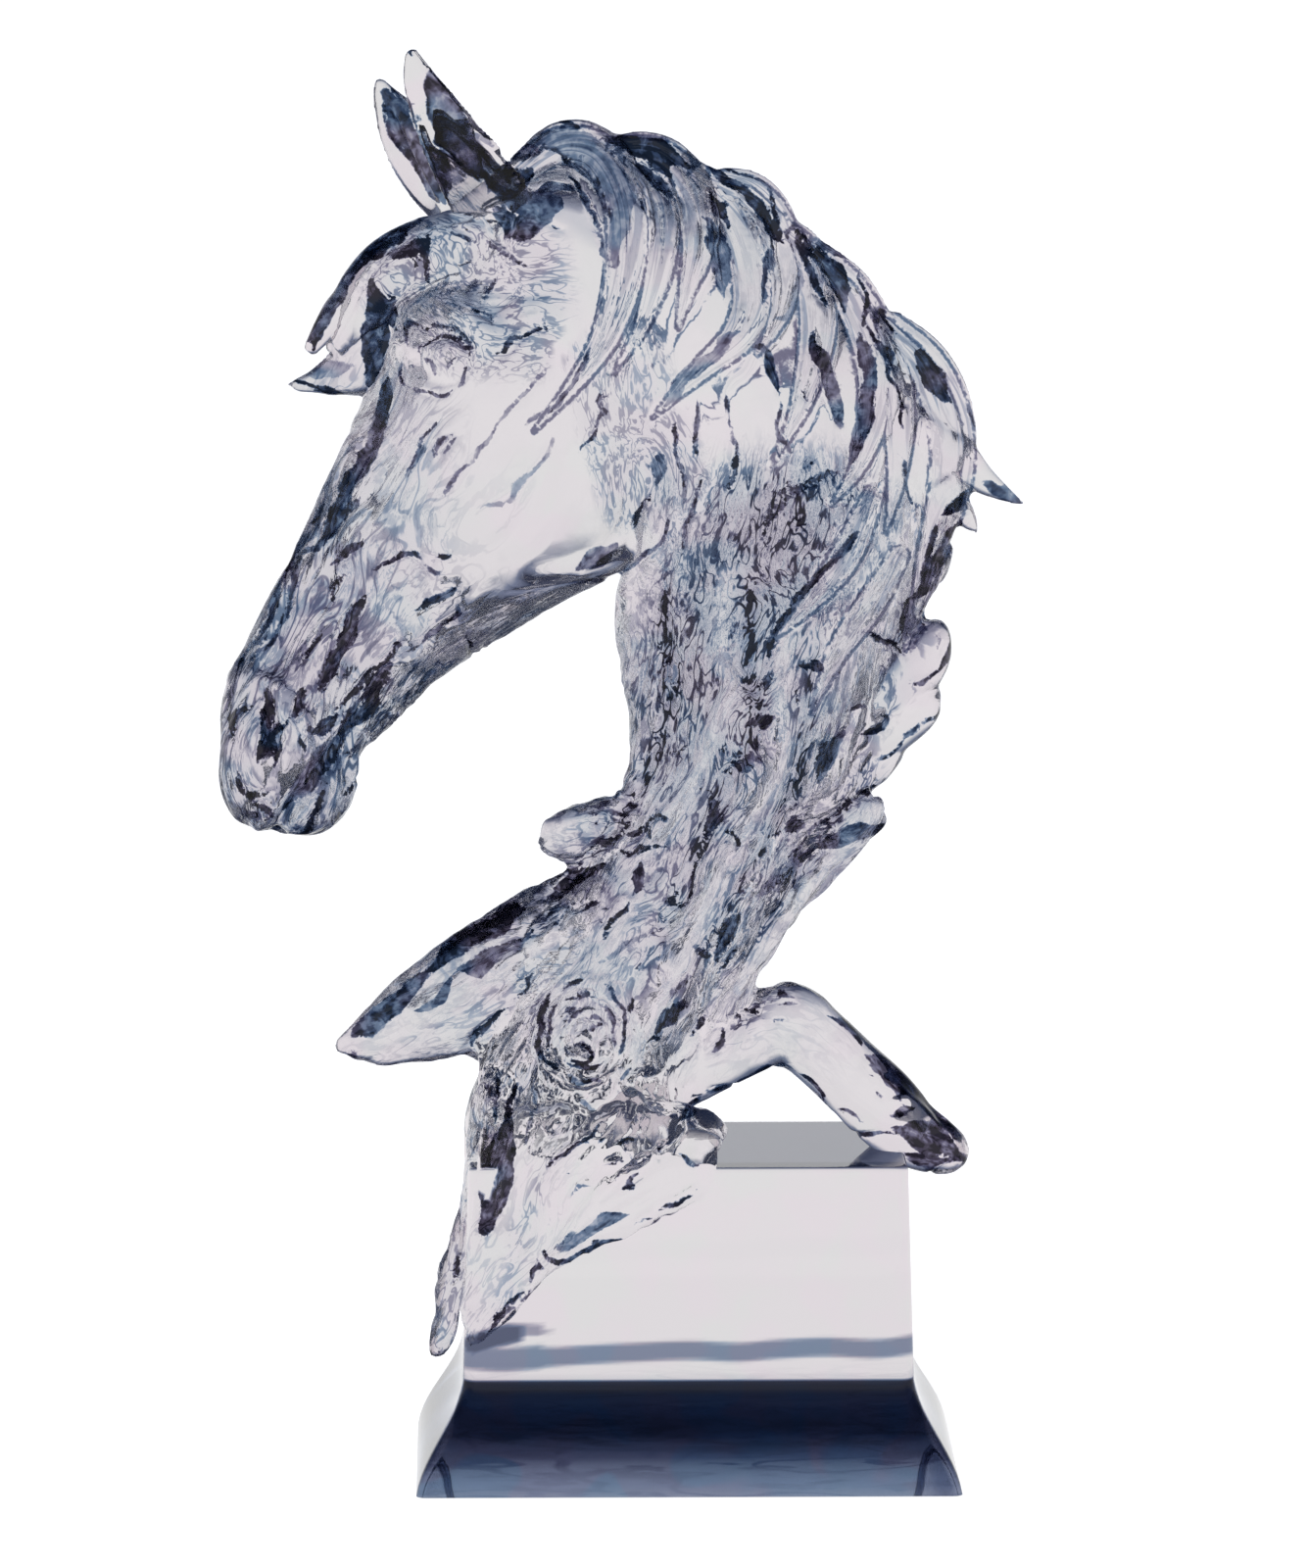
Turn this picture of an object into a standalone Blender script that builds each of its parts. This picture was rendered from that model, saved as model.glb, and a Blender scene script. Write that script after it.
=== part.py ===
"""A horse head rising out of a driftwood trunk whose roots grip a flared plinth.

The whole sculpture is one clear resin casting. Metres, +Z up. The origin is the middle of the plinth's
underside, the horse looks towards -X, and its dressed side faces -Y.
"""

import math

import bmesh
import bpy
import numpy as np
from mathutils import Vector
from mathutils.bvhtree import BVHTree

# Plinth
PLINTH_WIDTH = 0.135
PLINTH_DEPTH = 0.086
PLINTH_HEIGHT = 0.099
BLOCK_TAPER = 0.0018
BLOCK_CORNER_RADIUS = 0.004
TOP_EDGE_RADIUS = 0.0015
TOP_EDGE_STEPS = 3
FOOT_HEIGHT = 0.033
FOOT_SPREAD = 0.0144
FOOT_STRAIGHT_SHARE = 0.35
FOOT_CORNER_RADIUS = 0.003
FOOT_STEPS = 9

# Figure
FIGURE_HEIGHT = 0.340
BASE_VOXEL = 0.0024
BASE_SMOOTHING = 8
FIGURE_VOXEL = 0.0017
FIGURE_SMOOTHING = 1
FIGURE_TRIANGLES = 9000

# The figure is drawn on a grid: u to the right of the plinth's middle and v above its top, as seen from the
# front and VIEW_TILT above level, and y away from the viewer. The figure is GRID_HEIGHT of its units tall.
GRID_HEIGHT = 1110
VIEW_TILT = math.radians(8)
TILT = math.sin(VIEW_TILT)
UNIT_Z = FIGURE_HEIGHT / GRID_HEIGHT
UNIT = UNIT_Z * math.cos(VIEW_TILT)
NEAR, FAR = -1, 1
BOTH = (NEAR, FAR)

# The plinth's half-width, half-depth and block height on the grid. The roots are drawn against these, and are
# stretched to the real plinth below GRIP_HEIGHT, so that they keep their hold on its edges.
GRID_SIDE = 222.5
GRID_FRONT = 141.8
GRID_DROP = 215.5
GRIP_HEIGHT = 300
SIDE_STRETCH = PLINTH_WIDTH / 2 / UNIT / GRID_SIDE
FRONT_STRETCH = PLINTH_DEPTH / 2 / UNIT / GRID_FRONT
DROP_STRETCH = (PLINTH_HEIGHT - FOOT_HEIGHT) / UNIT_Z / GRID_DROP
FRONT = -GRID_FRONT

RESIN_COLOUR = (0.80, 0.79, 0.84, 1)
RESIN_ROUGHNESS = 0.04
RESIN_IOR = 1.5


def stretch(v, whole):
    """How much a form at height v is stretched: not at all above GRIP_HEIGHT, by whole at the plinth."""
    return 1 + (whole - 1) * min(max(1 - v / GRIP_HEIGHT, 0), 1)


def at(u, v, y):
    """The point in space that is seen at (u, v) and lies y units behind the middle plane."""
    x = u * UNIT * stretch(v, SIDE_STRETCH)
    depth = y * UNIT * stretch(v, FRONT_STRETCH)
    level = v * (DROP_STRETCH if v < 0 else 1) - y * TILT
    return Vector((x, depth, PLINTH_HEIGHT + level * UNIT_Z))


def smooth_rows(rows, steps):
    """More rows, on a Catmull-Rom curve through the given ones."""
    rows = np.array(rows, float)
    padded = np.vstack([2 * rows[0] - rows[1], rows, 2 * rows[-1] - rows[-2]])
    found = []
    for i in range(1, len(padded) - 2):
        a, b, c, d = padded[i - 1 : i + 3]
        for t in np.arange(steps) / steps:
            bend = (2 * a - 5 * b + 4 * c - d) * t**2 + (3 * b - a - 3 * c + d) * t**3
            found.append(b + 0.5 * ((c - a) * t + bend))
    return np.array(found + [rows[-1]])


def loft(bm, rings):
    """A closed skin through rings of as many points each, capped at both ends."""
    made = [[bm.verts.new(point) for point in ring] for ring in rings]
    count = len(made[0])
    for one, two in zip(made, made[1:]):
        for k in range(count):
            j = (k + 1) % count
            bm.faces.new((one[k], one[j], two[j], two[k]))
    bm.faces.new(made[0][::-1])
    bm.faces.new(made[-1])


# Where a slice's half-widths are given, as shares of the way from its first end to its last.
WIDTH_PLACES = (0.0, 0.33, 0.67, 1.0)


def blade(bm, rows, skew=(0, 0), around=20, steps=3):
    """A form through slices. A row is a slice's two ends (u, v, u, v), its middle's y, and its half-width at
    WIDTH_PLACES between them. skew moves the far side in u and v for each unit of y."""
    rings = []
    for row in smooth_rows(rows, steps):
        first, last, middle, widths = row[:2], row[2:4], row[4], row[5:]
        ring = []
        for angle in np.arange(around) * 2 * math.pi / around:
            share = (1 - math.cos(angle)) / 2
            side = np.interp(share, WIDTH_PLACES, widths) * math.sin(angle)
            u, v = first + (last - first) * share
            level = side * TILT
            ring.append(at(u + side * skew[0], v + level + side * skew[1], middle + side))
        rings.append(ring)
    loft(bm, rings)


SMALLEST_RADIUS = 0.5


def limb(bm, rows, depth_share=1.0, around=12, steps=4):
    """A limb through (u, v, y, radius), its thickness in depth depth_share of its width."""
    rows = smooth_rows(rows, steps)
    centres = [at(*row[:3]) for row in rows]
    rings = []
    across = Vector((0, 1, 0))
    for i, centre in enumerate(centres):
        ahead = centres[min(i + 1, len(centres) - 1)] - centres[max(i - 1, 0)]
        across = (across - ahead * across.dot(ahead) / ahead.length_squared).normalized()
        other = ahead.cross(across).normalized()
        reach = max(rows[i][3], SMALLEST_RADIUS) * UNIT
        ring = []
        for angle in np.arange(around) * 2 * math.pi / around:
            turned = across * depth_share * math.cos(angle) + other * math.sin(angle)
            ring.append(centre + turned * reach)
        rings.append(ring)
    loft(bm, rings)


# The head, from the poll to the lips: forehead or nose, then jaw, the middle's y, and the half-widths from the
# nose to the jaw.
HEAD = [
    (-180, 1005, 0, 765, 0, 46, 78, 88, 65),
    (-230, 955, -10, 715, -2, 52, 92, 96, 65),
    (-270, 910, -18, 675, -6, 59, 110, 98, 59),
    (-295, 852, -30, 633, -12, 68, 124, 103, 52),
    (-314, 790, -53, 595, -18, 66, 120, 108, 46),
    (-339, 735, -88, 569, -24, 50, 100, 110, 42),
    (-366, 680, -123, 554, -30, 38, 80, 102, 39),
    (-392, 625, -162, 530, -36, 33, 66, 84, 37),
    (-419, 572, -207, 502, -42, 31, 58, 66, 34),
    (-444, 525, -252, 472, -48, 31, 56, 56, 32),
    (-463, 482, -289, 440, -54, 34, 62, 54, 32),
    (-472, 440, -318, 412, -58, 44, 74, 56, 33),
    (-475, 400, -331, 397, -60, 50, 82, 60, 36),
    (-474, 364, -330, 370, -62, 46, 74, 62, 40),
    (-462, 338, -348, 332, -63, 34, 54, 52, 34),
    (-436, 321, -377, 315, -64, 13, 24, 22, 13),
]
HEAD_SKEW = (-0.20, -0.10)
HEAD_THICKNESS = 150

# The neck and the trunk, from the poll to the plinth: crest, then throat.
NECK = [
    (-160, 1002, -200, 825, 0, 40, 75, 80, 60),
    (-92, 1000, -140, 755, 0, 44, 82, 84, 60),
    (-26, 984, -90, 695, 2, 46, 88, 88, 60),
    (38, 952, -60, 645, 4, 46, 92, 90, 60),
    (100, 904, -62, 600, 6, 46, 94, 90, 58),
    (160, 848, -72, 567, 8, 46, 96, 90, 56),
    (218, 786, -75, 545, 8, 48, 98, 90, 56),
    (260, 722, -75, 520, 8, 50, 100, 92, 56),
    (278, 655, -70, 493, 8, 54, 102, 94, 58),
    (260, 585, -66, 463, 6, 58, 104, 96, 60),
    (236, 520, -61, 433, 4, 60, 104, 98, 62),
    (212, 460, -57, 403, 0, 60, 104, 98, 62),
    (180, 400, -60, 372, -4, 60, 102, 98, 62),
    (142, 330, -70, 338, -8, 58, 100, 98, 62),
    (112, 265, -84, 300, -12, 56, 98, 98, 62),
    (80, 210, -116, 265, -18, 56, 98, 98, 62),
    (50, 160, -158, 210, -26, 56, 98, 98, 60),
    (22, 118, -195, 135, -36, 58, 98, 98, 60),
    (-2, 72, -212, 82, -50, 60, 96, 96, 60),
    (-10, 30, -214, 32, -66, 60, 90, 90, 56),
    (-14, -20, -212, -20, -78, 50, 76, 76, 48),
]

# The skin of roots that runs down over the plinth's front face: right edge, then left edge.
APRON = [
    (10, 45, -212, 45, FRONT + 14, 28, 42, 42, 28),
    (34, -10, -218, -15, FRONT + 4, 14, 30, 36, 24),
    (12, -42, -222, -46, FRONT + 1, 12, 22, 32, 22),
    (-60, -78, -226, -80, FRONT - 2, 10, 18, 30, 20),
    (-108, -106, -227, -110, FRONT - 3, 10, 18, 28, 18),
    (-158, -142, -228, -140, FRONT - 5, 10, 18, 24, 16),
    (-190, -176, -228, -172, FRONT - 6, 8, 14, 18, 12),
    (-218, -206, -227, -206, FRONT - 7, 3, 5, 5, 4),
]

# The broad broken root that points left like a leaf: upper edge, then lower edge.
LEAF_ROOT = [
    (-70, 296, -120, 60, -30, 40, 60, 60, 40),
    (-138, 276, -200, 92, -34, 30, 50, 50, 32),
    (-200, 244, -236, 88, -38, 22, 38, 38, 24),
    (-258, 206, -284, 82, -40, 16, 28, 28, 18),
    (-308, 162, -322, 82, -42, 12, 20, 20, 14),
    (-343, 128, -348, 90, -42, 9, 14, 14, 9),
    (-362, 108, -363, 98, -42, 4, 6, 6, 4),
]

# Other roots and stubs: (u, v, y, radius).
ARCH_ROOT = [
    (-40, 60, -34, 42),
    (10, 88, -30, 42),
    (50, 108, -26, 43),
    (90, 119, -22, 42),
    (129, 108, -18, 42),
    (163, 80, -16, 41),
    (195, 45, -16, 42),
    (226, 14, -18, 38),
    (256, -2, -20, 31),
    (274, -12, -20, 24),
    (286, -20, -20, 10),
]
LIMBS = [
    [
        (-30, 325, -20, 36),
        (-75, 326, -24, 31),
        (-112, 319, -26, 27),
        (-138, 311, -27, 21),
        (-152, 308, -27, 11),
    ],
    [
        (10, 140, -30, 40),
        (60, 220, -34, 36),
        (110, 277, -36, 33),
        (152, 315, -38, 29),
        (184, 341, -38, 25),
        (196, 353, -38, 14),
    ],
    [
        (-188, 70, -86, 26),
        (-206, 10, -84, 19),
        (-218, -40, -80, 15),
        (-228, -90, -78, 14),
        (-241, -140, -76, 14),
        (-252, -190, -76, 13),
        (-254, -214, -76, 8),
    ],
    [(80, 120, -22, 22), (98, 138, -24, 20), (104, 150, -24, 10)],
    [
        (-70, 60, FRONT + 32, 46),
        (-110, 0, FRONT + 8, 42),
        (-150, -70, FRONT, 36),
        (-190, -140, FRONT - 8, 26),
        (-218, -198, FRONT - 10, 9),
    ],
    [
        (10, 30, FRONT + 42, 36),
        (-10, -20, FRONT + 6, 26),
        (-45, -62, FRONT - 2, 18),
        (-80, -88, FRONT - 4, 12),
    ],
    [(-120, 90, 0, 46), (-92, 44, 66, 32), (-62, 24, 104, 21), (-44, 18, 124, 10)],
    [(-170, 66, -10, 42), (-198, 34, 44, 28), (-212, 12, 84, 18), (-219, -20, 104, 11), (-222, -60, 112, 7)],
]
SPIKES = [
    [(226, 730, 0, 26), (270, 704, 0, 22), (296, 680, -2, 16), (320, 664, -3, 9), (346, 650, -3, 1)],
    [(255, 672, -10, 18), (276, 648, -12, 14), (288, 632, -14, 8), (296, 622, -14, 1)],
]
BACK_LOBES = [
    [(150, 408, -14, 40), (196, 452, -14, 34), (234, 492, -12, 32), (246, 518, -12, 24), (244, 534, -12, 12)],
    [(130, 372, -14, 38), (186, 414, -16, 32), (228, 446, -14, 30), (240, 460, -14, 22), (246, 472, -14, 12)],
    [(100, 330, -14, 38), (150, 368, -16, 32), (186, 396, -14, 30), (204, 408, -14, 22), (212, 418, -14, 10)],
    [(190, 560, -6, 40), (226, 580, -6, 32), (248, 604, -6, 24), (256, 630, -6, 12)],
]

# The ears: two edges, the middle's y, half-widths between them.
NEAR_EAR = [
    (-128, 942, -236, 944, -48, 24, 42, 36, 16),
    (-156, 972, -250, 968, -53, 20, 40, 33, 13),
    (-184, 1004, -264, 998, -57, 16, 34, 29, 10),
    (-208, 1034, -275, 1028, -60, 12, 28, 24, 8),
    (-230, 1060, -283, 1054, -60, 9, 21, 18, 6),
    (-252, 1084, -287, 1080, -60, 6, 13, 12, 5),
    (-272, 1106, -283, 1104, -60, 3, 5, 5, 3),
]
FAR_EAR = [
    (-160, 935, -242, 926, 44, 20, 36, 32, 16),
    (-180, 962, -272, 956, 47, 18, 34, 30, 13),
    (-202, 992, -295, 988, 50, 14, 30, 26, 10),
    (-230, 1022, -309, 1020, 52, 12, 24, 21, 8),
    (-256, 1048, -315, 1046, 52, 9, 18, 15, 6),
    (-286, 1068, -317, 1066, 52, 6, 11, 9, 5),
    (-306, 1084, -315, 1084, 52, 3, 5, 5, 3),
]

# The forelock: a flap and two locks that curl forward over the brow.
FORELOCK_FLAP = [
    (-292, 925, -268, 880, -8, 22, 36, 36, 22),
    (-328, 888, -292, 846, -10, 18, 34, 36, 20),
    (-344, 845, -300, 812, -12, 14, 30, 32, 20),
    (-360, 808, -306, 786, -14, 8, 22, 28, 18),
    (-380, 788, -315, 767, -16, 7, 16, 24, 14),
    (-394, 780, -346, 764, -16, 6, 11, 16, 9),
    (-404, 774, -392, 766, -16, 4, 6, 6, 4),
]
FORELOCK = [
    [
        (-195, 926, 0, 30),
        (-256, 916, -6, 29),
        (-302, 898, -12, 25),
        (-334, 868, -16, 20),
        (-360, 836, -20, 15),
        (-382, 806, -22, 7),
    ],
    [
        (-200, 918, -34, 24),
        (-262, 900, -40, 24),
        (-300, 872, -40, 20),
        (-326, 836, -34, 15),
        (-352, 806, -28, 8),
    ],
    [(-200, 918, 36, 24), (-268, 900, 34, 24), (-312, 872, 24, 20), (-340, 836, 12, 14), (-360, 806, 0, 8)],
]

# Mane locks: the side they lie on, their half-width, then (u, v) from root to tip.
LOCKS = [
    (
        NEAR,
        25,
        [
            (-168, 985), (-128, 1012), (-88, 1003), (-62, 950), (-64, 880), (-84, 815), (-118, 765),
            (-155, 722),
        ],
    ),
    (NEAR, 20, [(-105, 1004), (-66, 1004), (-30, 965), (-26, 900), (-46, 830), (-75, 780)]),
    (NEAR, 25, [(-75, 1004), (-30, 1000), (4, 965), (12, 915), (-2, 860), (-10, 825)]),
    (NEAR, 25, [(0, 985), (40, 950), (60, 910), (66, 860), (52, 820), (14, 785), (-35, 738)]),
    (NEAR, 25, [(30, 975), (64, 962), (88, 932), (98, 885), (92, 840), (70, 800)]),
    (NEAR, 22, [(88, 934), (124, 896), (132, 825), (114, 750), (84, 690)]),
    (NEAR, 25, [(125, 906), (166, 864), (190, 808), (190, 748), (173, 690), (145, 650)]),
    (NEAR, 21, [(172, 862), (204, 806), (214, 742), (212, 680), (200, 620)]),
    (NEAR, 26, [(200, 835), (242, 794), (266, 738), (268, 675), (250, 612), (236, 556), (222, 505)]),
    (NEAR, 18, [(188, 660), (160, 600), (124, 552), (88, 515)]),
    (NEAR, 17, [(215, 600), (185, 550), (150, 500), (125, 440)]),
    (FAR, 25, [(-168, 985), (-125, 1012), (-85, 1000), (-62, 930), (-72, 850), (-105, 780)]),
    (FAR, 24, [(-85, 1004), (-30, 998), (2, 945), (0, 870), (-30, 800)]),
    (FAR, 25, [(0, 985), (48, 945), (72, 880), (60, 810), (20, 740)]),
    (FAR, 24, [(60, 958), (105, 905), (124, 825), (108, 740), (70, 670)]),
    (FAR, 22, [(125, 895), (172, 840), (190, 770), (178, 690), (140, 610)]),
    (FAR, 25, [(200, 825), (242, 770), (258, 700), (240, 610), (205, 520)]),
]
# A lock's thickness and how deep it sits, as shares of its half-width, and its shape: its width at the root
# and at the tip as shares of its widest, and how late it tapers.
LOCK_DEPTH_SHARE = 0.62
LOCK_SINK = 0.2
LOCK_ROOT = 0.6
LOCK_TIP = 0.15
LOCK_TAPER = 2.5

# Carving: the sides it is on, its half-width, its height (below zero for a groove), then (u, v) along it.
HEAD_CARVING = [
    (BOTH, 16, 9, [(-292, 822), (-270, 846), (-236, 848), (-206, 822), (-186, 800)]),
    (
        BOTH,
        9,
        -7,
        [
            (-272, 800), (-262, 820), (-240, 824), (-222, 808), (-222, 788), (-240, 772), (-262, 778),
            (-272, 798),
        ],
    ),
    (BOTH, 13, 8, [(-258, 798), (-247, 799), (-236, 798)]),
    (BOTH, 34, -12, [(-238, 885), (-205, 870), (-180, 845)]),
    (BOTH, 16, 8, [(-215, 748), (-246, 712), (-272, 672), (-292, 636)]),
    (BOTH, 20, -7, [(-148, 720), (-146, 670), (-168, 622), (-212, 588)]),
    (BOTH, 22, 7, [(-22, 640), (-60, 606), (-120, 586), (-190, 580)]),
    (BOTH, 14, -8, [(-300, 776), (-328, 700), (-364, 620), (-402, 550), (-428, 495)]),
    (BOTH, 13, -8, [(-318, 575), (-346, 520), (-376, 470), (-394, 435)]),
    (BOTH, 12, -8, [(-290, 505), (-321, 452), (-360, 398), (-394, 350)]),
    (BOTH, 12, 7, [(-455, 412), (-450, 448), (-432, 474), (-408, 462), (-398, 420)]),
    (BOTH, 13, -17, [(-428, 452), (-420, 430), (-422, 402)]),
    (BOTH, 9, -11, [(-440, 318), (-402, 340), (-372, 366), (-350, 398), (-338, 420)]),
    (BOTH, 12, -7, [(-336, 402), (-345, 372)]),
]
EAR_CARVING = [
    ((NEAR,), 17, -17, [(-272, 1074), (-264, 1045), (-250, 1012), (-232, 980), (-216, 956)]),
    ((NEAR,), 15, -15, [(-306, 1058), (-298, 1030), (-285, 1000), (-268, 968), (-254, 944)]),
]
TRUNK_CARVING = [
    (BOTH, 15, -10, [(-20, 610), (-26, 540), (-14, 470), (-28, 410), (-60, 345), (-110, 280), (-165, 215)]),
    (
        BOTH,
        15,
        9,
        [
            (39, 580), (31, 511), (46, 465), (21, 415), (14, 386), (-8, 344), (-40, 301), (-61, 244),
            (-90, 180),
        ],
    ),
    (
        BOTH,
        14,
        -10,
        [
            (66, 560), (60, 490), (70, 430), (40, 370), (18, 320), (-8, 270), (-30, 210), (-50, 160),
        ],
    ),
    (BOTH, 15, 8, [(100, 520), (92, 450), (90, 390), (60, 330), (20, 260), (-10, 190), (-50, 120)]),
    (BOTH, 13, -9, [(132, 500), (120, 430), (110, 370), (80, 305), (40, 240), (10, 180), (-30, 110)]),
    (BOTH, 15, 9, [(185, 470), (160, 410), (140, 360), (118, 310)]),
    (BOTH, 14, -11, [(205, 420), (175, 372), (140, 320), (100, 255), (60, 190), (30, 130)]),
    (BOTH, 14, 8, [(192, 345), (140, 285), (90, 215), (40, 150), (0, 100), (-40, 60)]),
    (BOTH, 13, -9, [(150, 245), (100, 190), (60, 130), (20, 80)]),
    ((NEAR,), 13, -9, [(-137, 233), (-169, 179), (-207, 153), (-255, 125), (-290, 108)]),
    ((NEAR,), 13, 7, [(-90, 250), (-140, 212), (-190, 190), (-240, 160), (-290, 130)]),
    ((FAR,), 14, 8, [(-110, 240), (-180, 180), (-240, 145), (-300, 112)]),
    ((NEAR,), 14, -13, [(-150, 150), (-158, 99), (-182, 35), (-204, -15), (-207, -85)]),
    ((NEAR,), 14, -10, [(-20, 74), (-73, 58), (-140, -12), (-162, -83), (-194, -165)]),
    ((NEAR,), 13, -9, [(10, 20), (-40, -14), (-90, -50), (-120, -96)]),
    ((FAR,), 15, -10, [(-20, 90), (-90, 40), (-150, -30), (-180, -90)]),
]
KNOT = (-106, 112)
KNOT_RINGS = ((45, 12, 9), (32, 9, -7), (20, 9, 5), (9, 8, -9))
KNOT_STRETCH = 1.25
KNOT_POINTS = 12


def knot_carving():
    """The rings of the knot, each a closed path round its middle."""
    found = []
    for reach, width, height in KNOT_RINGS:
        ring = []
        for angle in np.arange(KNOT_POINTS + 1) * 2 * math.pi / KNOT_POINTS:
            u = KNOT[0] + reach * math.cos(angle)
            v = KNOT[1] + reach * KNOT_STRETCH * math.sin(angle)
            ring.append((u, v))
        found.append(((NEAR,), width, height, ring))
    return found


def fuse(name, make, voxel, passes):
    """One closed mesh from forms that overlap: remeshed, then smoothed."""
    mesh = bpy.data.meshes.new(name)
    bm = bmesh.new()
    make(bm)
    bmesh.ops.recalc_face_normals(bm, faces=bm.faces)
    bm.to_mesh(mesh)
    bm.free()
    obj = bpy.data.objects.new(name, mesh)
    bpy.context.scene.collection.objects.link(obj)
    remesh = obj.modifiers.new("one skin", "REMESH")
    remesh.mode = "VOXEL"
    remesh.voxel_size = voxel
    soften = obj.modifiers.new("soften", "SMOOTH")
    soften.factor = 0.5
    soften.iterations = passes
    return evaluated_copy(obj, name + " skin")


def evaluated_copy(obj, name):
    """The object as its modifiers make it, as a plain mesh object that takes the first one's place."""
    graph = bpy.context.evaluated_depsgraph_get()
    mesh = bpy.data.meshes.new_from_object(obj.evaluated_get(graph))
    bpy.data.objects.remove(obj)
    made = bpy.data.objects.new(name, mesh)
    bpy.context.scene.collection.objects.link(made)
    return made


def base_forms(bm):
    blade(bm, HEAD, HEAD_SKEW)
    for rows in (NECK, APRON, LEAF_ROOT):
        blade(bm, rows)
    limb(bm, ARCH_ROOT)
    for rows in LIMBS:
        limb(bm, rows)


def surface_tree(obj):
    mesh = obj.data
    return BVHTree.FromPolygons([v.co for v in mesh.vertices], [p.vertices for p in mesh.polygons])


# How far from the middle plane a search for the surface starts, past every form.
REACH = 320


def laid_path(tree, side, points, steps=4):
    """(u, v, y) along the surface that faces side. A point past its edge takes the nearest edge's y."""
    found = []
    for u, v in smooth_rows(points, steps):
        start = at(u, v, side * REACH)
        ahead = at(u, v, -side * REACH) - start
        hit = tree.ray_cast(start, ahead.normalized())[0]
        if hit is None:
            hit = tree.find_nearest(at(u, v, 0))[0]
        found.append((u, v, hit.y / UNIT / stretch(v, FRONT_STRETCH)))
    found = np.array(found)
    for _ in range(2):
        found[1:-1, 2] = (found[:-2, 2] + 2 * found[1:-1, 2] + found[2:, 2]) / 4
    return found


def lock(bm, tree, side, radius, points):
    """A flat tapering lock laid on the surface."""
    path = laid_path(tree, side, points)
    share = np.linspace(0, 1, len(path))
    swell = LOCK_ROOT + (1 - LOCK_ROOT) * np.sin(np.pi * share)
    radii = radius * swell * (1 - (1 - LOCK_TIP) * share**LOCK_TAPER)
    path[:, 2] -= side * radii * LOCK_SINK
    limb(bm, np.column_stack([path, radii]), LOCK_DEPTH_SHARE, steps=1)


def far_head_points(points):
    """The places on the far side of the head that match these on its near side."""
    du = HEAD_SKEW[0] * HEAD_THICKNESS
    dv = (HEAD_SKEW[1] + TILT) * HEAD_THICKNESS
    return [(u + du, v + dv) for u, v in points]


# A stroke loses height over END_FADE of its length at each end, down to END_SHARE, and falls off across it
# by the power STROKE_FALL.
END_FADE = 0.2
END_SHARE = 0.1
STROKE_FALL = 1.5


def carve(obj, tree, strokes, move_far=None):
    """Raises ridges and sinks grooves along paths on the surface."""
    mesh = obj.data
    count = len(mesh.vertices)
    places = np.empty(count * 3)
    normals = np.empty(count * 3)
    mesh.vertices.foreach_get("co", places)
    mesh.vertices.foreach_get("normal", normals)
    places = places.reshape(-1, 3)
    normals = normals.reshape(-1, 3)
    moved = places.copy()
    for sides, radius, height, points in strokes:
        for side in sides:
            laid = points if side == NEAR or move_far is None else move_far(points)
            path = np.array([at(*row) for row in laid_path(tree, side, laid)])
            moved += stroke_shift(places, normals, path, radius * UNIT, height * UNIT)
    mesh.vertices.foreach_set("co", moved.ravel())
    mesh.update()


def stroke_shift(places, normals, path, radius, height):
    """How far one stroke moves each vertex: most on its path, nothing past its radius, less at its ends."""
    shift = np.zeros(places.shape)
    inside = ((places > path.min(axis=0) - radius) & (places < path.max(axis=0) + radius)).all(axis=1)
    chosen = np.flatnonzero(inside)
    nearest = np.full(len(chosen), np.inf)
    along = np.zeros(len(chosen))
    for i in range(len(path) - 1):
        start, run = path[i], path[i + 1] - path[i]
        offset = places[chosen] - start
        share = np.clip(offset @ run / max(run @ run, 1e-12), 0, 1)
        distance = np.linalg.norm(offset - share[:, None] * run, axis=1)
        better = distance < nearest
        nearest[better] = distance[better]
        along[better] = (i + share[better]) / (len(path) - 1)
    closed = np.linalg.norm(path[0] - path[-1]) < radius
    ends = 1 if closed else np.clip(np.minimum(along, 1 - along) / END_FADE, END_SHARE, 1)
    amount = np.clip(1 - (nearest / radius) ** 2, 0, 1) ** STROKE_FALL * height * ends
    shift[chosen] = normals[chosen] * amount[:, None]
    return shift


QUARTER_TURN = math.pi / 2


def rounded_rectangle(width, depth, radius, z, corner_steps=4):
    """A ring round the Z axis."""
    ring = []
    for corner in range(4):
        x = (width / 2 - radius) * (1 if corner in (0, 3) else -1)
        y = (depth / 2 - radius) * (1 if corner in (0, 1) else -1)
        for k in range(corner_steps + 1):
            angle = (corner + k / corner_steps) * QUARTER_TURN
            ring.append(Vector((x + radius * math.cos(angle), y + radius * math.sin(angle), z)))
    return ring


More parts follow.
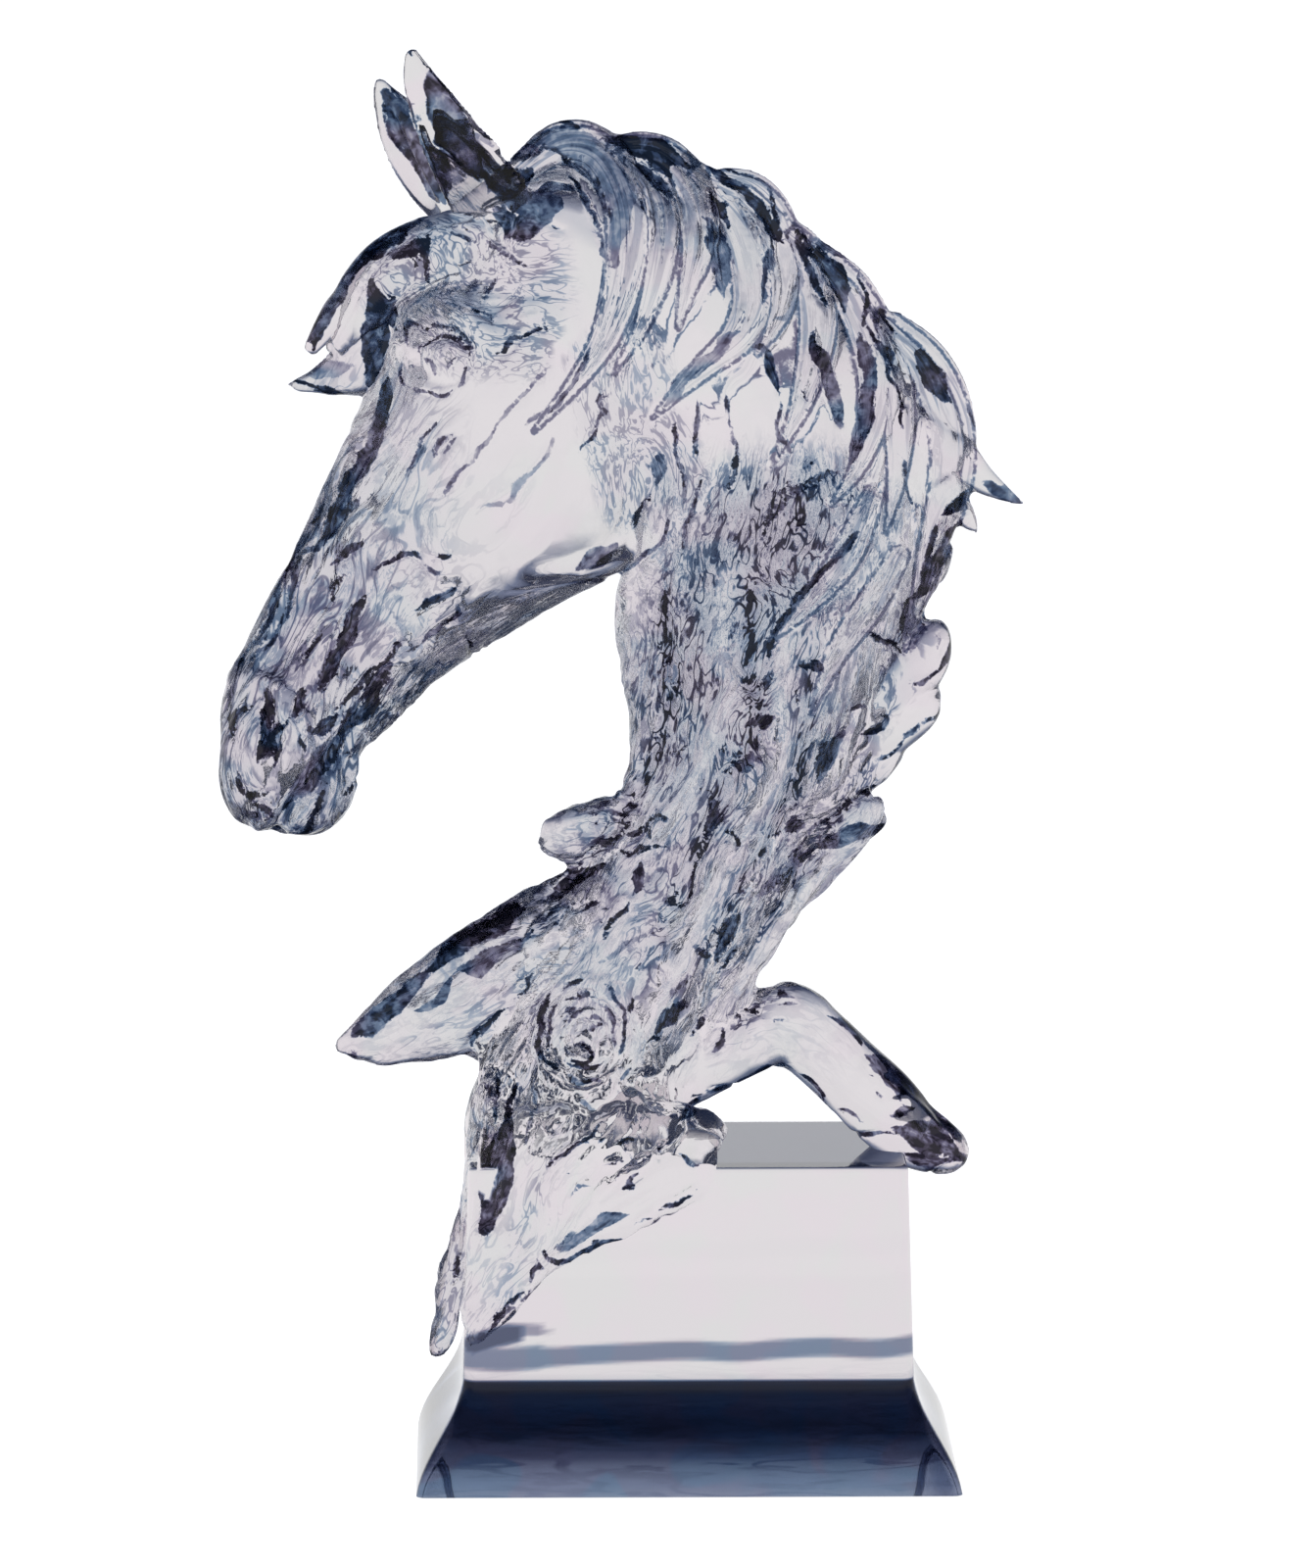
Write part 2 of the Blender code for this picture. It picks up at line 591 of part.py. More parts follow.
def plinth_mesh():
    """A block that tapers upwards on a foot that flares out and down."""
    rings = []
    for k in range(FOOT_STEPS + 1):
        share = k / FOOT_STEPS
        wave = (1 - math.cos(math.pi * (1 - share))) / 2
        spread = FOOT_SPREAD * (FOOT_STRAIGHT_SHARE * (1 - share) + (1 - FOOT_STRAIGHT_SHARE) * wave)
        width, depth = (side + 2 * (spread + BLOCK_TAPER) for side in (PLINTH_WIDTH, PLINTH_DEPTH))
        radius = FOOT_CORNER_RADIUS + (BLOCK_CORNER_RADIUS - FOOT_CORNER_RADIUS) * share
        rings.append(rounded_rectangle(width, depth, radius, share * FOOT_HEIGHT))
    for k in range(TOP_EDGE_STEPS + 1):
        angle = k / TOP_EDGE_STEPS * QUARTER_TURN
        inset = 2 * TOP_EDGE_RADIUS * (1 - math.cos(angle))
        z = PLINTH_HEIGHT - TOP_EDGE_RADIUS * (1 - math.sin(angle))
        rings.append(rounded_rectangle(PLINTH_WIDTH - inset, PLINTH_DEPTH - inset, BLOCK_CORNER_RADIUS, z))
    bm = bmesh.new()
    loft(bm, rings)
    bmesh.ops.recalc_face_normals(bm, faces=bm.faces)
    mesh = bpy.data.meshes.new("plinth")
    bm.to_mesh(mesh)
    bm.free()
    return mesh


def make_figure():
    base = fuse("base", base_forms, BASE_VOXEL, BASE_SMOOTHING)
    tree = surface_tree(base)
    carve(base, tree, HEAD_CARVING, far_head_points)
    carve(base, tree, TRUNK_CARVING + knot_carving())

    def figure_forms(bm):
        bm.from_mesh(base.data)
        for rows in (NEAR_EAR, FAR_EAR, FORELOCK_FLAP):
            blade(bm, rows, around=16)
        for rows in FORELOCK + SPIKES + BACK_LOBES:
            limb(bm, rows)
        for side, radius, points in LOCKS:
            lock(bm, tree, side, radius, points)

    figure = fuse("figure", figure_forms, FIGURE_VOXEL, FIGURE_SMOOTHING)
    bpy.data.objects.remove(base)
    carve(figure, surface_tree(figure), EAR_CARVING)
    thin = figure.modifiers.new("fewer faces", "DECIMATE")
    thin.ratio = min(1, FIGURE_TRIANGLES / (2 * len(figure.data.polygons)))
    thin.use_collapse_triangulate = True
    return evaluated_copy(figure, "figure")


def resin():
    material = bpy.data.materials.new("clear resin")
    material.use_nodes = True
    shader = material.node_tree.nodes["Principled BSDF"]
    shader.inputs["Base Color"].default_value = RESIN_COLOUR
    shader.inputs["Roughness"].default_value = RESIN_ROUGHNESS
    shader.inputs["Metallic"].default_value = 0
    shader.inputs["Transmission Weight"].default_value = 1
    shader.inputs["IOR"].default_value = RESIN_IOR
    return material


def main():
    for obj in list(bpy.data.objects):
        bpy.data.objects.remove(obj)
    parts = bpy.data.collections.new("horse head sculpture")
    cutters = bpy.data.collections.new("joined shapes")
    for collection in (parts, cutters):
        bpy.context.scene.collection.children.link(collection)

    figure = make_figure()
    figure.hide_render = True
    figure.display_type = "WIRE"
    cutters.objects.link(figure)
    bpy.context.scene.collection.objects.unlink(figure)

    casting = bpy.data.objects.new("horse_head_on_plinth", plinth_mesh())
    parts.objects.link(casting)
    casting.data.materials.append(resin())
    join = casting.modifiers.new("figure", "BOOLEAN")
    join.operation = "UNION"
    join.object = figure
    join.solver = "EXACT"


main()
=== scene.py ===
"""The looks of the clear resin horse head on its plinth.

The casting is built again on the grid that its solid is drawn on, with finer locks, grain and carving. Then
come the resin, the floor, the light and the camera. Metres, +Z up, and the dressed side faces -Y.
"""

import itertools
import math
from collections import namedtuple

import bmesh
import bpy
import numpy as np
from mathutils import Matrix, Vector
from mathutils.bvhtree import BVHTree


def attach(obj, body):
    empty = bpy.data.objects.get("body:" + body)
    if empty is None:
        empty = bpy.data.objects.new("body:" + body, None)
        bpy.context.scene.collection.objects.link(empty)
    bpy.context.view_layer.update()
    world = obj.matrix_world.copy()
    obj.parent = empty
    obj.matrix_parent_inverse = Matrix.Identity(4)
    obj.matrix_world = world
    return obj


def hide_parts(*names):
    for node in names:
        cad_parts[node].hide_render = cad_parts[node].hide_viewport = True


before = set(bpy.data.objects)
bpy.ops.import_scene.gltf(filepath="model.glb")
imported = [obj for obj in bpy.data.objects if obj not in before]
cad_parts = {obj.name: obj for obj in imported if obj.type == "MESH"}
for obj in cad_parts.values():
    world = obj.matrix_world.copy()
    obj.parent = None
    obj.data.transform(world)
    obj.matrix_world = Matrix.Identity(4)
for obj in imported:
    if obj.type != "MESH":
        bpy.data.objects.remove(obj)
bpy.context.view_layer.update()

# Plinth
PLINTH_WIDTH = 0.135
PLINTH_DEPTH = 0.086
PLINTH_HEIGHT = 0.099
BLOCK_TAPER = 0.0018
BLOCK_CORNER_RADIUS = 0.004
TOP_EDGE_RADIUS = 0.0015
TOP_EDGE_STEPS = 3
FOOT_HEIGHT = 0.033
FOOT_SPREAD = 0.0144
FOOT_STRAIGHT_SHARE = 0.35
FOOT_CORNER_RADIUS = 0.003

# Figure. It is fused twice: its main forms as a base, then with the ears and locks. The far side is thinned
# first, where the normal's y is over FAR_FACING.
FIGURE_HEIGHT = 0.340
BASE_VOXEL = 0.0018
BASE_SMOOTHING = 12
FIGURE_VOXEL = 0.0011
FIGURE_SMOOTHING = 1
FAR_THINNED_TRIANGLES = 245000
FIGURE_TRIANGLES = 184000
FAR_FACING = 0.1
SHARP_EDGE = math.radians(60)

# The grid of faces on the plinth, finer over BAND_ZONE above the foot, and how far in its flat top begins.
PLINTH_GRID = 0.003
BAND_ZONE = 0.020
BAND_GRID = 0.001
FLAT_MARGIN = 0.002

# The figure is drawn on a grid: u to the right of the plinth's middle and v above its top, as seen from the
# front and VIEW_TILT above level, and y away from the viewer. The figure is GRID_HEIGHT of its units tall.
GRID_HEIGHT = 1110
VIEW_TILT = math.radians(8)
TILT = math.sin(VIEW_TILT)
UNIT_Z = FIGURE_HEIGHT / GRID_HEIGHT
UNIT = UNIT_Z * math.cos(VIEW_TILT)
NEAR, FAR = -1, 1
BOTH = (NEAR, FAR)

# The plinth's half-width, half-depth and block height on the grid. The roots are drawn against these, and
# are stretched to the real plinth below GRIP_HEIGHT, so that they keep their hold on its edges.
GRID_SIDE = 222.5
GRID_FRONT = 141.8
GRID_DROP = 215.5
GRIP_HEIGHT = 300
SIDE_STRETCH = PLINTH_WIDTH / 2 / UNIT / GRID_SIDE
FRONT_STRETCH = PLINTH_DEPTH / 2 / UNIT / GRID_FRONT
DROP_STRETCH = (PLINTH_HEIGHT - FOOT_HEIGHT) / UNIT_Z / GRID_DROP
FRONT = -GRID_FRONT


def stretch(v, whole):
    """How much a form at height v is stretched: not at all above GRIP_HEIGHT, by whole at the plinth."""
    return 1 + (whole - 1) * min(max(1 - v / GRIP_HEIGHT, 0), 1)


def at(u, v, y):
    """The point in space that is seen at (u, v) and lies y units behind the middle plane."""
    x = u * UNIT * stretch(v, SIDE_STRETCH)
    depth = y * UNIT * stretch(v, FRONT_STRETCH)
    level = v * (DROP_STRETCH if v < 0 else 1) - y * TILT
    return Vector((x, depth, PLINTH_HEIGHT + level * UNIT_Z))


# How many steps a smooth line takes from one given row to the next, and where it is finer.
LINE_STEPS = 4
FINE_STEPS = 6


def smooth_rows(rows, steps):
    """More rows, on a Catmull-Rom curve through the given ones."""
    rows = np.array(rows, float)
    padded = np.vstack([2 * rows[0] - rows[1], rows, 2 * rows[-1] - rows[-2]])
    found = []
    for i in range(1, len(padded) - 2):
        a, b, c, d = padded[i - 1 : i + 3]
        for t in np.arange(steps) / steps:
            bend = (2 * a - 5 * b + 4 * c - d) * t**2 + (3 * b - a - 3 * c + d) * t**3
            found.append(b + 0.5 * ((c - a) * t + bend))
    return np.array(found + [rows[-1]])


def loft(bm, rings):
    """A closed skin through rings of as many points each, capped at both ends."""
    made = [[bm.verts.new(point) for point in ring] for ring in rings]
    count = len(made[0])
    for one, two in zip(made, made[1:]):
        for k in range(count):
            j = (k + 1) % count
            bm.faces.new((one[k], one[j], two[j], two[k]))
    bm.faces.new(made[0][::-1])
    bm.faces.new(made[-1])


# Where a slice's half-widths are given, as shares of the way from its first end to its last.
WIDTH_PLACES = (0.0, 0.33, 0.67, 1.0)


def blade(bm, rows, skew=(0, 0), around=20, steps=3):
    """A form through slices. A row is a slice's two ends (u, v, u, v), its middle's y, and its half-width
    at WIDTH_PLACES between them. skew moves the far side in u and v for each unit of y."""
    rings = []
    for row in smooth_rows(rows, steps):
        first, last, middle, widths = row[:2], row[2:4], row[4], row[5:]
        ring = []
        for angle in np.arange(around) * 2 * math.pi / around:
            share = (1 - math.cos(angle)) / 2
            side = np.interp(share, WIDTH_PLACES, widths) * math.sin(angle)
            u, v = first + (last - first) * share
            level = side * TILT
            ring.append(at(u + side * skew[0], v + level + side * skew[1], middle + side))
        rings.append(ring)
    loft(bm, rings)


# A limb's smallest radius, in units.
SMALLEST_RADIUS = 0.5


def limb(bm, rows, around=12, steps=4):
    """A limb through (u, v, y, radius)."""
    rows = smooth_rows(rows, steps)
    centres = [at(*row[:3]) for row in rows]
    rings = []
    across = Vector((0, 1, 0))
    for i, centre in enumerate(centres):
        ahead = centres[min(i + 1, len(centres) - 1)] - centres[max(i - 1, 0)]
        across = (across - ahead * across.dot(ahead) / ahead.length_squared).normalized()
        other = ahead.cross(across).normalized()
        reach = max(rows[i][3], SMALLEST_RADIUS) * UNIT
        ring = []
        for angle in np.arange(around) * 2 * math.pi / around:
            turned = across * math.cos(angle) + other * math.sin(angle)
            ring.append(centre + turned * reach)
        rings.append(ring)
    loft(bm, rings)


# The head, from the poll to the lips: forehead or nose, jaw, the middle's y, half-widths from nose to jaw.
HEAD = [
    (-180, 1005, 0, 765, 0, 46, 78, 88, 65),
    (-230, 955, -10, 715, -2, 52, 92, 96, 65),
    (-270, 910, -18, 675, -6, 59, 110, 98, 59),
    (-295, 852, -30, 633, -12, 68, 124, 103, 52),
    (-314, 790, -53, 595, -18, 66, 120, 108, 46),
    (-339, 735, -88, 569, -24, 50, 100, 110, 42),
    (-366, 680, -123, 554, -30, 38, 80, 102, 39),
    (-392, 625, -162, 530, -36, 33, 66, 84, 37),
    (-419, 572, -207, 502, -42, 31, 58, 66, 34),
    (-444, 525, -252, 472, -48, 31, 56, 56, 32),
    (-463, 482, -289, 440, -54, 34, 62, 54, 32),
    (-472, 440, -318, 412, -58, 44, 74, 56, 33),
    (-475, 400, -331, 397, -60, 50, 82, 60, 36),
    (-474, 364, -330, 370, -62, 46, 74, 62, 40),
    (-462, 338, -348, 332, -63, 34, 54, 52, 34),
    (-436, 321, -377, 315, -64, 13, 24, 22, 13),
]
# How far the head's far side lies left and down for each unit of its depth, and how thick the head is.
HEAD_SKEW = (-0.20, -0.10)
HEAD_THICKNESS = 150

# The neck and the trunk, from the poll to the plinth: crest, then throat.
NECK = [
    (-160, 1002, -200, 825, 0, 40, 75, 80, 60),
    (-92, 1000, -140, 755, 0, 44, 82, 84, 60),
    (-26, 984, -90, 695, 2, 46, 88, 88, 60),
    (38, 952, -60, 645, 4, 46, 92, 90, 60),
    (100, 904, -62, 600, 6, 46, 94, 90, 58),
    (160, 848, -72, 567, 8, 46, 96, 90, 56),
    (218, 786, -75, 545, 8, 48, 98, 90, 56),
    (260, 722, -75, 520, 8, 50, 100, 92, 56),
    (278, 655, -70, 493, 8, 54, 102, 94, 58),
    (260, 585, -66, 463, 6, 58, 104, 96, 60),
    (236, 520, -61, 433, 4, 60, 104, 98, 62),
    (212, 460, -57, 403, 0, 60, 104, 98, 62),
    (180, 400, -60, 372, -4, 60, 102, 98, 62),
    (142, 330, -70, 338, -8, 58, 100, 98, 62),
    (112, 265, -84, 300, -12, 56, 98, 98, 62),
    (80, 210, -116, 265, -18, 56, 98, 98, 62),
    (50, 160, -158, 210, -26, 56, 98, 98, 60),
    (22, 118, -195, 135, -36, 58, 98, 98, 60),
    (-2, 72, -212, 82, -50, 60, 96, 96, 60),
    (-10, 30, -214, 32, -66, 60, 90, 90, 56),
    (-14, -20, -212, -20, -78, 50, 76, 76, 48),
]

# The skin of roots that runs down over the plinth's front face: right edge, then left edge.
APRON = [
    (10, 45, -212, 45, FRONT + 14, 28, 42, 42, 28),
    (34, -10, -218, -15, FRONT + 4, 14, 30, 36, 24),
    (20, -52, -222, -46, FRONT + 1, 12, 22, 32, 22),
    (-54, -83, -226, -80, FRONT - 2, 10, 18, 30, 20),
    (-108, -111, -227, -110, FRONT - 3, 10, 18, 28, 18),
    (-158, -145, -228, -140, FRONT - 5, 10, 18, 24, 16),
    (-190, -176, -228, -172, FRONT - 6, 8, 14, 18, 12),
    (-218, -206, -227, -206, FRONT - 7, 3, 5, 5, 4),
]

# The broad broken root that points left like a leaf: upper edge, then lower edge.
LEAF_ROOT = [
    (-70, 296, -120, 60, -30, 40, 60, 60, 40),
    (-138, 276, -200, 92, -34, 30, 50, 50, 32),
    (-200, 244, -236, 88, -38, 22, 38, 38, 24),
    (-258, 206, -284, 82, -40, 16, 28, 28, 18),
    (-308, 162, -322, 82, -42, 12, 20, 20, 14),
    (-343, 128, -348, 90, -42, 9, 14, 14, 9),
    (-362, 108, -363, 98, -42, 4, 6, 6, 4),
]

# The arched root, then other roots and stubs: (u, v, y, radius).
ARCH_ROOT = [
    (-40, 60, -34, 42), (10, 88, -30, 42), (50, 108, -26, 42), (86, 122, -22, 42), (106, 124, -20, 44),
    (128, 108, -18, 41), (163, 76, -16, 40), (195, 45, -16, 42), (226, 14, -18, 38), (256, -2, -20, 31),
    (274, -12, -20, 24), (286, -20, -20, 10),
]
LIMBS = [
    [
        (-30, 325, -20, 36), (-75, 326, -24, 31), (-112, 319, -26, 27), (-138, 311, -27, 21),
        (-152, 308, -27, 11),
    ],
    [
        (10, 140, -30, 40), (60, 220, -34, 36), (110, 277, -36, 33), (152, 315, -38, 29),
        (184, 341, -38, 25), (196, 353, -38, 14),
    ],
    [
        (-188, 70, -86, 26), (-206, 10, -84, 19), (-218, -40, -80, 15), (-228, -90, -78, 14),
        (-241, -140, -76, 14), (-252, -190, -76, 13), (-254, -214, -76, 8),
    ],
    [(80, 120, -22, 22), (98, 138, -24, 20), (104, 150, -24, 10)],
    [
        (-70, 60, FRONT + 32, 46), (-110, 0, FRONT + 8, 42), (-150, -70, FRONT, 36),
        (-190, -140, FRONT - 8, 26), (-218, -198, FRONT - 10, 9),
    ],
    [
        (10, 30, FRONT + 42, 36), (-10, -20, FRONT + 6, 26), (-45, -62, FRONT - 2, 18),
        (-80, -88, FRONT - 4, 12),
    ],
    [(-120, 90, 0, 46), (-92, 44, 66, 32), (-62, 24, 104, 21), (-44, 18, 124, 10)],
    [
        (-170, 66, -10, 42), (-198, 34, 44, 28), (-212, 12, 84, 18), (-219, -20, 104, 11),
        (-222, -60, 112, 7),
    ],
]
# The two tips of the mane that stand out behind, and the lobes down the trunk's back edge.
SPIKES = [
    [(226, 730, 0, 26), (270, 704, 0, 22), (296, 680, -2, 16), (320, 664, -3, 9), (346, 650, -3, 1)],
    [(255, 672, -10, 18), (276, 648, -12, 14), (288, 632, -14, 8), (296, 622, -14, 1)],
]
BACK_LOBES = [
    [
        (150, 408, -14, 40), (196, 452, -14, 34), (234, 492, -12, 32), (246, 518, -12, 24),
        (244, 534, -12, 12),
    ],
    [
        (130, 372, -14, 38), (186, 414, -16, 32), (228, 446, -14, 30), (240, 460, -14, 22),
        (246, 472, -14, 12),
    ],
    [
        (100, 330, -14, 38), (150, 368, -16, 32), (186, 396, -14, 30), (204, 408, -14, 22),
        (212, 418, -14, 10),
    ],
    [(190, 560, -6, 40), (226, 580, -6, 32), (248, 604, -6, 24), (256, 630, -6, 12)],
]

# The ears, from root to tip: right edge, then left edge, the middle's y, and half-widths between them.
NEAR_EAR = [
    (-128, 942, -236, 944, -48, 4, 8, 16, 12),
    (-156, 972, -250, 968, -53, 3, 6, 12, 9),
    (-184, 1004, -264, 998, -57, 3, 5, 10, 8),
    (-208, 1034, -275, 1028, -60, 3, 5, 8, 6),
    (-230, 1060, -283, 1054, -60, 3, 5, 7, 5),
    (-252, 1084, -287, 1080, -60, 3, 4, 6, 4),
    (-272, 1106, -283, 1104, -60, 3, 5, 5, 3),
]
FAR_EAR = [
    (-160, 935, -242, 926, 44, 20, 36, 32, 16),
    (-180, 962, -272, 956, 47, 18, 34, 30, 13),
    (-202, 992, -295, 988, 50, 14, 30, 26, 10),
    (-230, 1022, -309, 1020, 52, 12, 24, 21, 8),
    (-256, 1048, -315, 1046, 52, 9, 18, 15, 6),
    (-286, 1068, -317, 1066, 52, 6, 11, 9, 5),
    (-306, 1084, -315, 1084, 52, 3, 5, 5, 3),
]

# The forelock: a flap and three locks that curl forward over the brow.
FORELOCK_FLAP = [
    (-292, 925, -268, 880, -8, 22, 36, 36, 22),
    (-328, 888, -292, 846, -10, 18, 34, 36, 20),
    (-344, 845, -300, 812, -12, 14, 30, 32, 20),
    (-360, 808, -306, 786, -14, 8, 22, 28, 18),
    (-380, 788, -315, 767, -16, 7, 16, 24, 14),
    (-394, 780, -346, 764, -16, 6, 11, 16, 9),
    (-404, 774, -392, 766, -16, 4, 6, 6, 4),
]
FORELOCK = [
    [
        (-195, 926, 0, 30), (-256, 916, -6, 29), (-302, 898, -12, 25), (-334, 868, -16, 20),
        (-360, 836, -20, 15), (-382, 806, -22, 7),
    ],
    [
        (-200, 918, -34, 24), (-262, 900, -40, 24), (-300, 872, -40, 20), (-326, 836, -34, 15),
        (-352, 806, -28, 8),
    ],
    [(-200, 918, 36, 24), (-268, 900, 34, 24), (-312, 872, 24, 20), (-340, 836, 12, 14), (-360, 806, 0, 8)],
]

# Mane locks: the side they lie on, their half-width, then (u, v) from root to tip.
LOCKS = [
    (NEAR, 25, [
        (-168, 985), (-128, 1012), (-88, 1003), (-62, 950), (-64, 880), (-84, 815), (-118, 765),
        (-155, 722),
    ]),
    (NEAR, 20, [(-105, 1004), (-66, 1004), (-30, 965), (-26, 900), (-46, 830), (-75, 780)]),
    (NEAR, 25, [(-75, 1004), (-30, 1000), (4, 965), (12, 915), (-2, 860), (-10, 825)]),
    (NEAR, 25, [(0, 985), (40, 950), (60, 910), (66, 860), (52, 820), (14, 785), (-35, 738)]),
    (NEAR, 25, [(30, 975), (64, 962), (88, 932), (98, 885), (92, 840), (70, 800)]),
    (NEAR, 22, [(88, 934), (124, 896), (132, 825), (114, 750), (84, 690)]),
    (NEAR, 25, [(125, 906), (166, 864), (190, 808), (190, 748), (173, 690), (145, 650)]),
    (NEAR, 21, [(172, 862), (204, 806), (214, 742), (212, 680), (200, 620)]),
    (NEAR, 26, [(200, 835), (242, 794), (266, 738), (268, 675), (250, 612), (236, 556), (222, 505)]),
    (NEAR, 18, [(188, 660), (160, 600), (124, 552), (88, 515)]),
    (NEAR, 17, [(215, 600), (185, 550), (150, 500), (125, 440)]),
    (FAR, 25, [(-168, 985), (-125, 1012), (-85, 1000), (-62, 930), (-72, 850), (-105, 780)]),
    (FAR, 24, [(-85, 1004), (-30, 998), (2, 945), (0, 870), (-30, 800)]),
    (FAR, 25, [(0, 985), (48, 945), (72, 880), (60, 810), (20, 740)]),
    (FAR, 24, [(60, 958), (105, 905), (124, 825), (108, 740), (70, 670)]),
    (FAR, 22, [(125, 895), (172, 840), (190, 770), (178, 690), (140, 610)]),
    (FAR, 25, [(200, 825), (242, 770), (258, 700), (240, 610), (205, 520)]),
]
# How deep a lock sits, as a share of its half-width, and its shape: its width at the root and at the tip as
# shares of its widest, and how late it tapers. Then how often its path is levelled out.
LOCK_SINK = 0.2
LOCK_ROOT = 0.6
LOCK_TIP = 0.15
LOCK_TAPER = 2.5
LAY_SMOOTHING = 10

# Carving: the sides it is on, its half-width, its height (below zero for a groove), then (u, v) along it.
HEAD_CARVING = [
    (BOTH, 16, 9, [(-292, 822), (-270, 846), (-236, 848), (-206, 822), (-186, 800)]),
    (BOTH, 9, -7, [
        (-272, 800), (-262, 820), (-240, 824), (-222, 808), (-222, 788), (-240, 772), (-262, 778),
        (-272, 798),
    ]),
    (BOTH, 13, 8, [(-258, 798), (-247, 799), (-236, 798)]),
    (BOTH, 34, -12, [(-238, 885), (-205, 870), (-180, 845)]),
    (BOTH, 16, 8, [(-215, 748), (-246, 712), (-272, 672), (-292, 636)]),
    (BOTH, 20, -7, [(-148, 720), (-146, 670), (-168, 622), (-212, 588)]),
    (BOTH, 22, 7, [(-22, 640), (-60, 606), (-120, 586), (-190, 580)]),
    (BOTH, 14, -8, [(-300, 776), (-328, 700), (-364, 620), (-402, 550), (-428, 495)]),
    (BOTH, 13, -8, [(-318, 575), (-346, 520), (-376, 470), (-394, 435)]),
    (BOTH, 12, -8, [(-290, 505), (-321, 452), (-360, 398), (-394, 350)]),
    (BOTH, 12, 7, [(-455, 412), (-450, 448), (-432, 474), (-408, 462), (-398, 420)]),
    (BOTH, 13, -17, [(-428, 452), (-420, 430), (-422, 402)]),
    (BOTH, 9, -11, [(-440, 318), (-402, 340), (-372, 366), (-350, 398), (-338, 420)]),
    (BOTH, 12, -7, [(-336, 402), (-345, 372)]),
    (BOTH, 11, -12, [(-428, 296), (-414, 322), (-400, 344), (-382, 364)]),
]
EAR_CARVING = [
    ((NEAR,), 15, -15, [(-306, 1058), (-298, 1030), (-285, 1000), (-268, 968), (-254, 944)]),
]
TRUNK_CARVING = [
    (BOTH, 15, -10, [(-20, 610), (-26, 540), (-14, 470), (-28, 410), (-60, 345), (-110, 280), (-165, 215)]),
    (BOTH, 15, 9, [
        (39, 580), (31, 511), (46, 465), (21, 415), (14, 386), (-8, 344), (-40, 301), (-61, 244),
        (-90, 180),
    ]),
    (BOTH, 14, -10, [
        (66, 560), (60, 490), (70, 430), (40, 370), (18, 320), (-8, 270), (-30, 210), (-50, 160),
    ]),
    (BOTH, 15, 8, [(100, 520), (92, 450), (90, 390), (60, 330), (20, 260), (-10, 190), (-50, 120)]),
    (BOTH, 13, -9, [(132, 500), (120, 430), (110, 370), (80, 305), (40, 240), (10, 180), (-30, 110)]),
    (BOTH, 15, 9, [(185, 470), (160, 410), (140, 360), (118, 310)]),
    (BOTH, 14, -11, [(205, 420), (175, 372), (140, 320), (100, 255), (60, 190), (30, 130)]),
    (BOTH, 14, 8, [(192, 345), (140, 285), (90, 215), (40, 150), (0, 100), (-40, 60)]),
    (BOTH, 13, -9, [(150, 245), (100, 190), (60, 130), (20, 80)]),
    ((NEAR,), 13, -9, [(-137, 233), (-169, 179), (-207, 153), (-255, 125), (-290, 108)]),
    ((NEAR,), 13, 7, [(-90, 250), (-140, 212), (-190, 190), (-240, 160), (-290, 130)]),
    ((FAR,), 14, 8, [(-110, 240), (-180, 180), (-240, 145), (-300, 112)]),
    ((NEAR,), 14, -13, [(-150, 150), (-158, 99), (-182, 35), (-204, -15), (-207, -85)]),
    ((NEAR,), 14, -10, [(-20, 74), (-73, 58), (-140, -12), (-162, -83), (-194, -165)]),
    ((NEAR,), 13, -9, [(10, 20), (-40, -14), (-90, -50), (-120, -96)]),
    ((FAR,), 15, -10, [(-20, 90), (-90, 40), (-150, -30), (-180, -90)]),
]
# Marks: lines and patches of painted shade, in dark blue, that stand in for the dark lines and patches
# seen through the resin. For each its half-width, its depth, its painted shade from 0, clear, to 1,
# nearly black, then (u, v) along it.
EAR_MARKS = [
    (12, 0, 0.58, [(-264, 1086), (-249, 1059), (-238, 1030), (-228, 1007), (-216, 980)]),
    (6, 0, 0.98, [(-267, 1090), (-260, 1062), (-252, 1034), (-245, 1012), (-238, 997), (-212, 973)]),
    (6, 0, 0.98, [
        (-265, 1091), (-251, 1077), (-238, 1062), (-227, 1040), (-221, 1027), (-214, 1001), (-209, 972),
    ]),
    (7, 0, 1.0, [(-282, 1110), (-272, 1098)]),
    (5, 3, 0.98, [(-269, 1043), (-262, 1023), (-256, 1008), (-240, 997), (-227, 986), (-210, 972)]),
    (8, 0, 0.55, [(-214, 1024), (-204, 1012), (-194, 1006)]),
    (12, 0, 0.95, [(-308, 1076), (-290, 1046), (-280, 1023), (-264, 996), (-249, 973), (-238, 955)]),
    (5, 0, 0.95, [
        (-312, 1075), (-305, 1049), (-297, 1027), (-282, 1001), (-266, 982), (-251, 964), (-238, 959),
    ]),
    (5, 0, 0.85, [(-303, 1078), (-271, 1045), (-262, 1021), (-253, 1008), (-243, 986), (-238, 960)]),
    (22, 0, 0.85, [(-200, 968), (-165, 955), (-125, 955)]),
    (13, 0, 1.0, [(-205, 966), (-190, 978), (-172, 988)]),
    (12, 0, 1.0, [(-184, 946), (-170, 930), (-154, 938), (-138, 948)]),
    (8, 2, 1.0, [(-180, 984), (-165, 980), (-169, 957)]),
    (8, 2, 0.85, [(-160, 960), (-130, 971), (-108, 964)]),
    (9, 2, 0.80, [(-199, 954), (-184, 934), (-164, 921), (-151, 930), (-140, 945), (-125, 951)]),
    (5, 2, 0.85, [(-140, 932), (-123, 923)]),
]
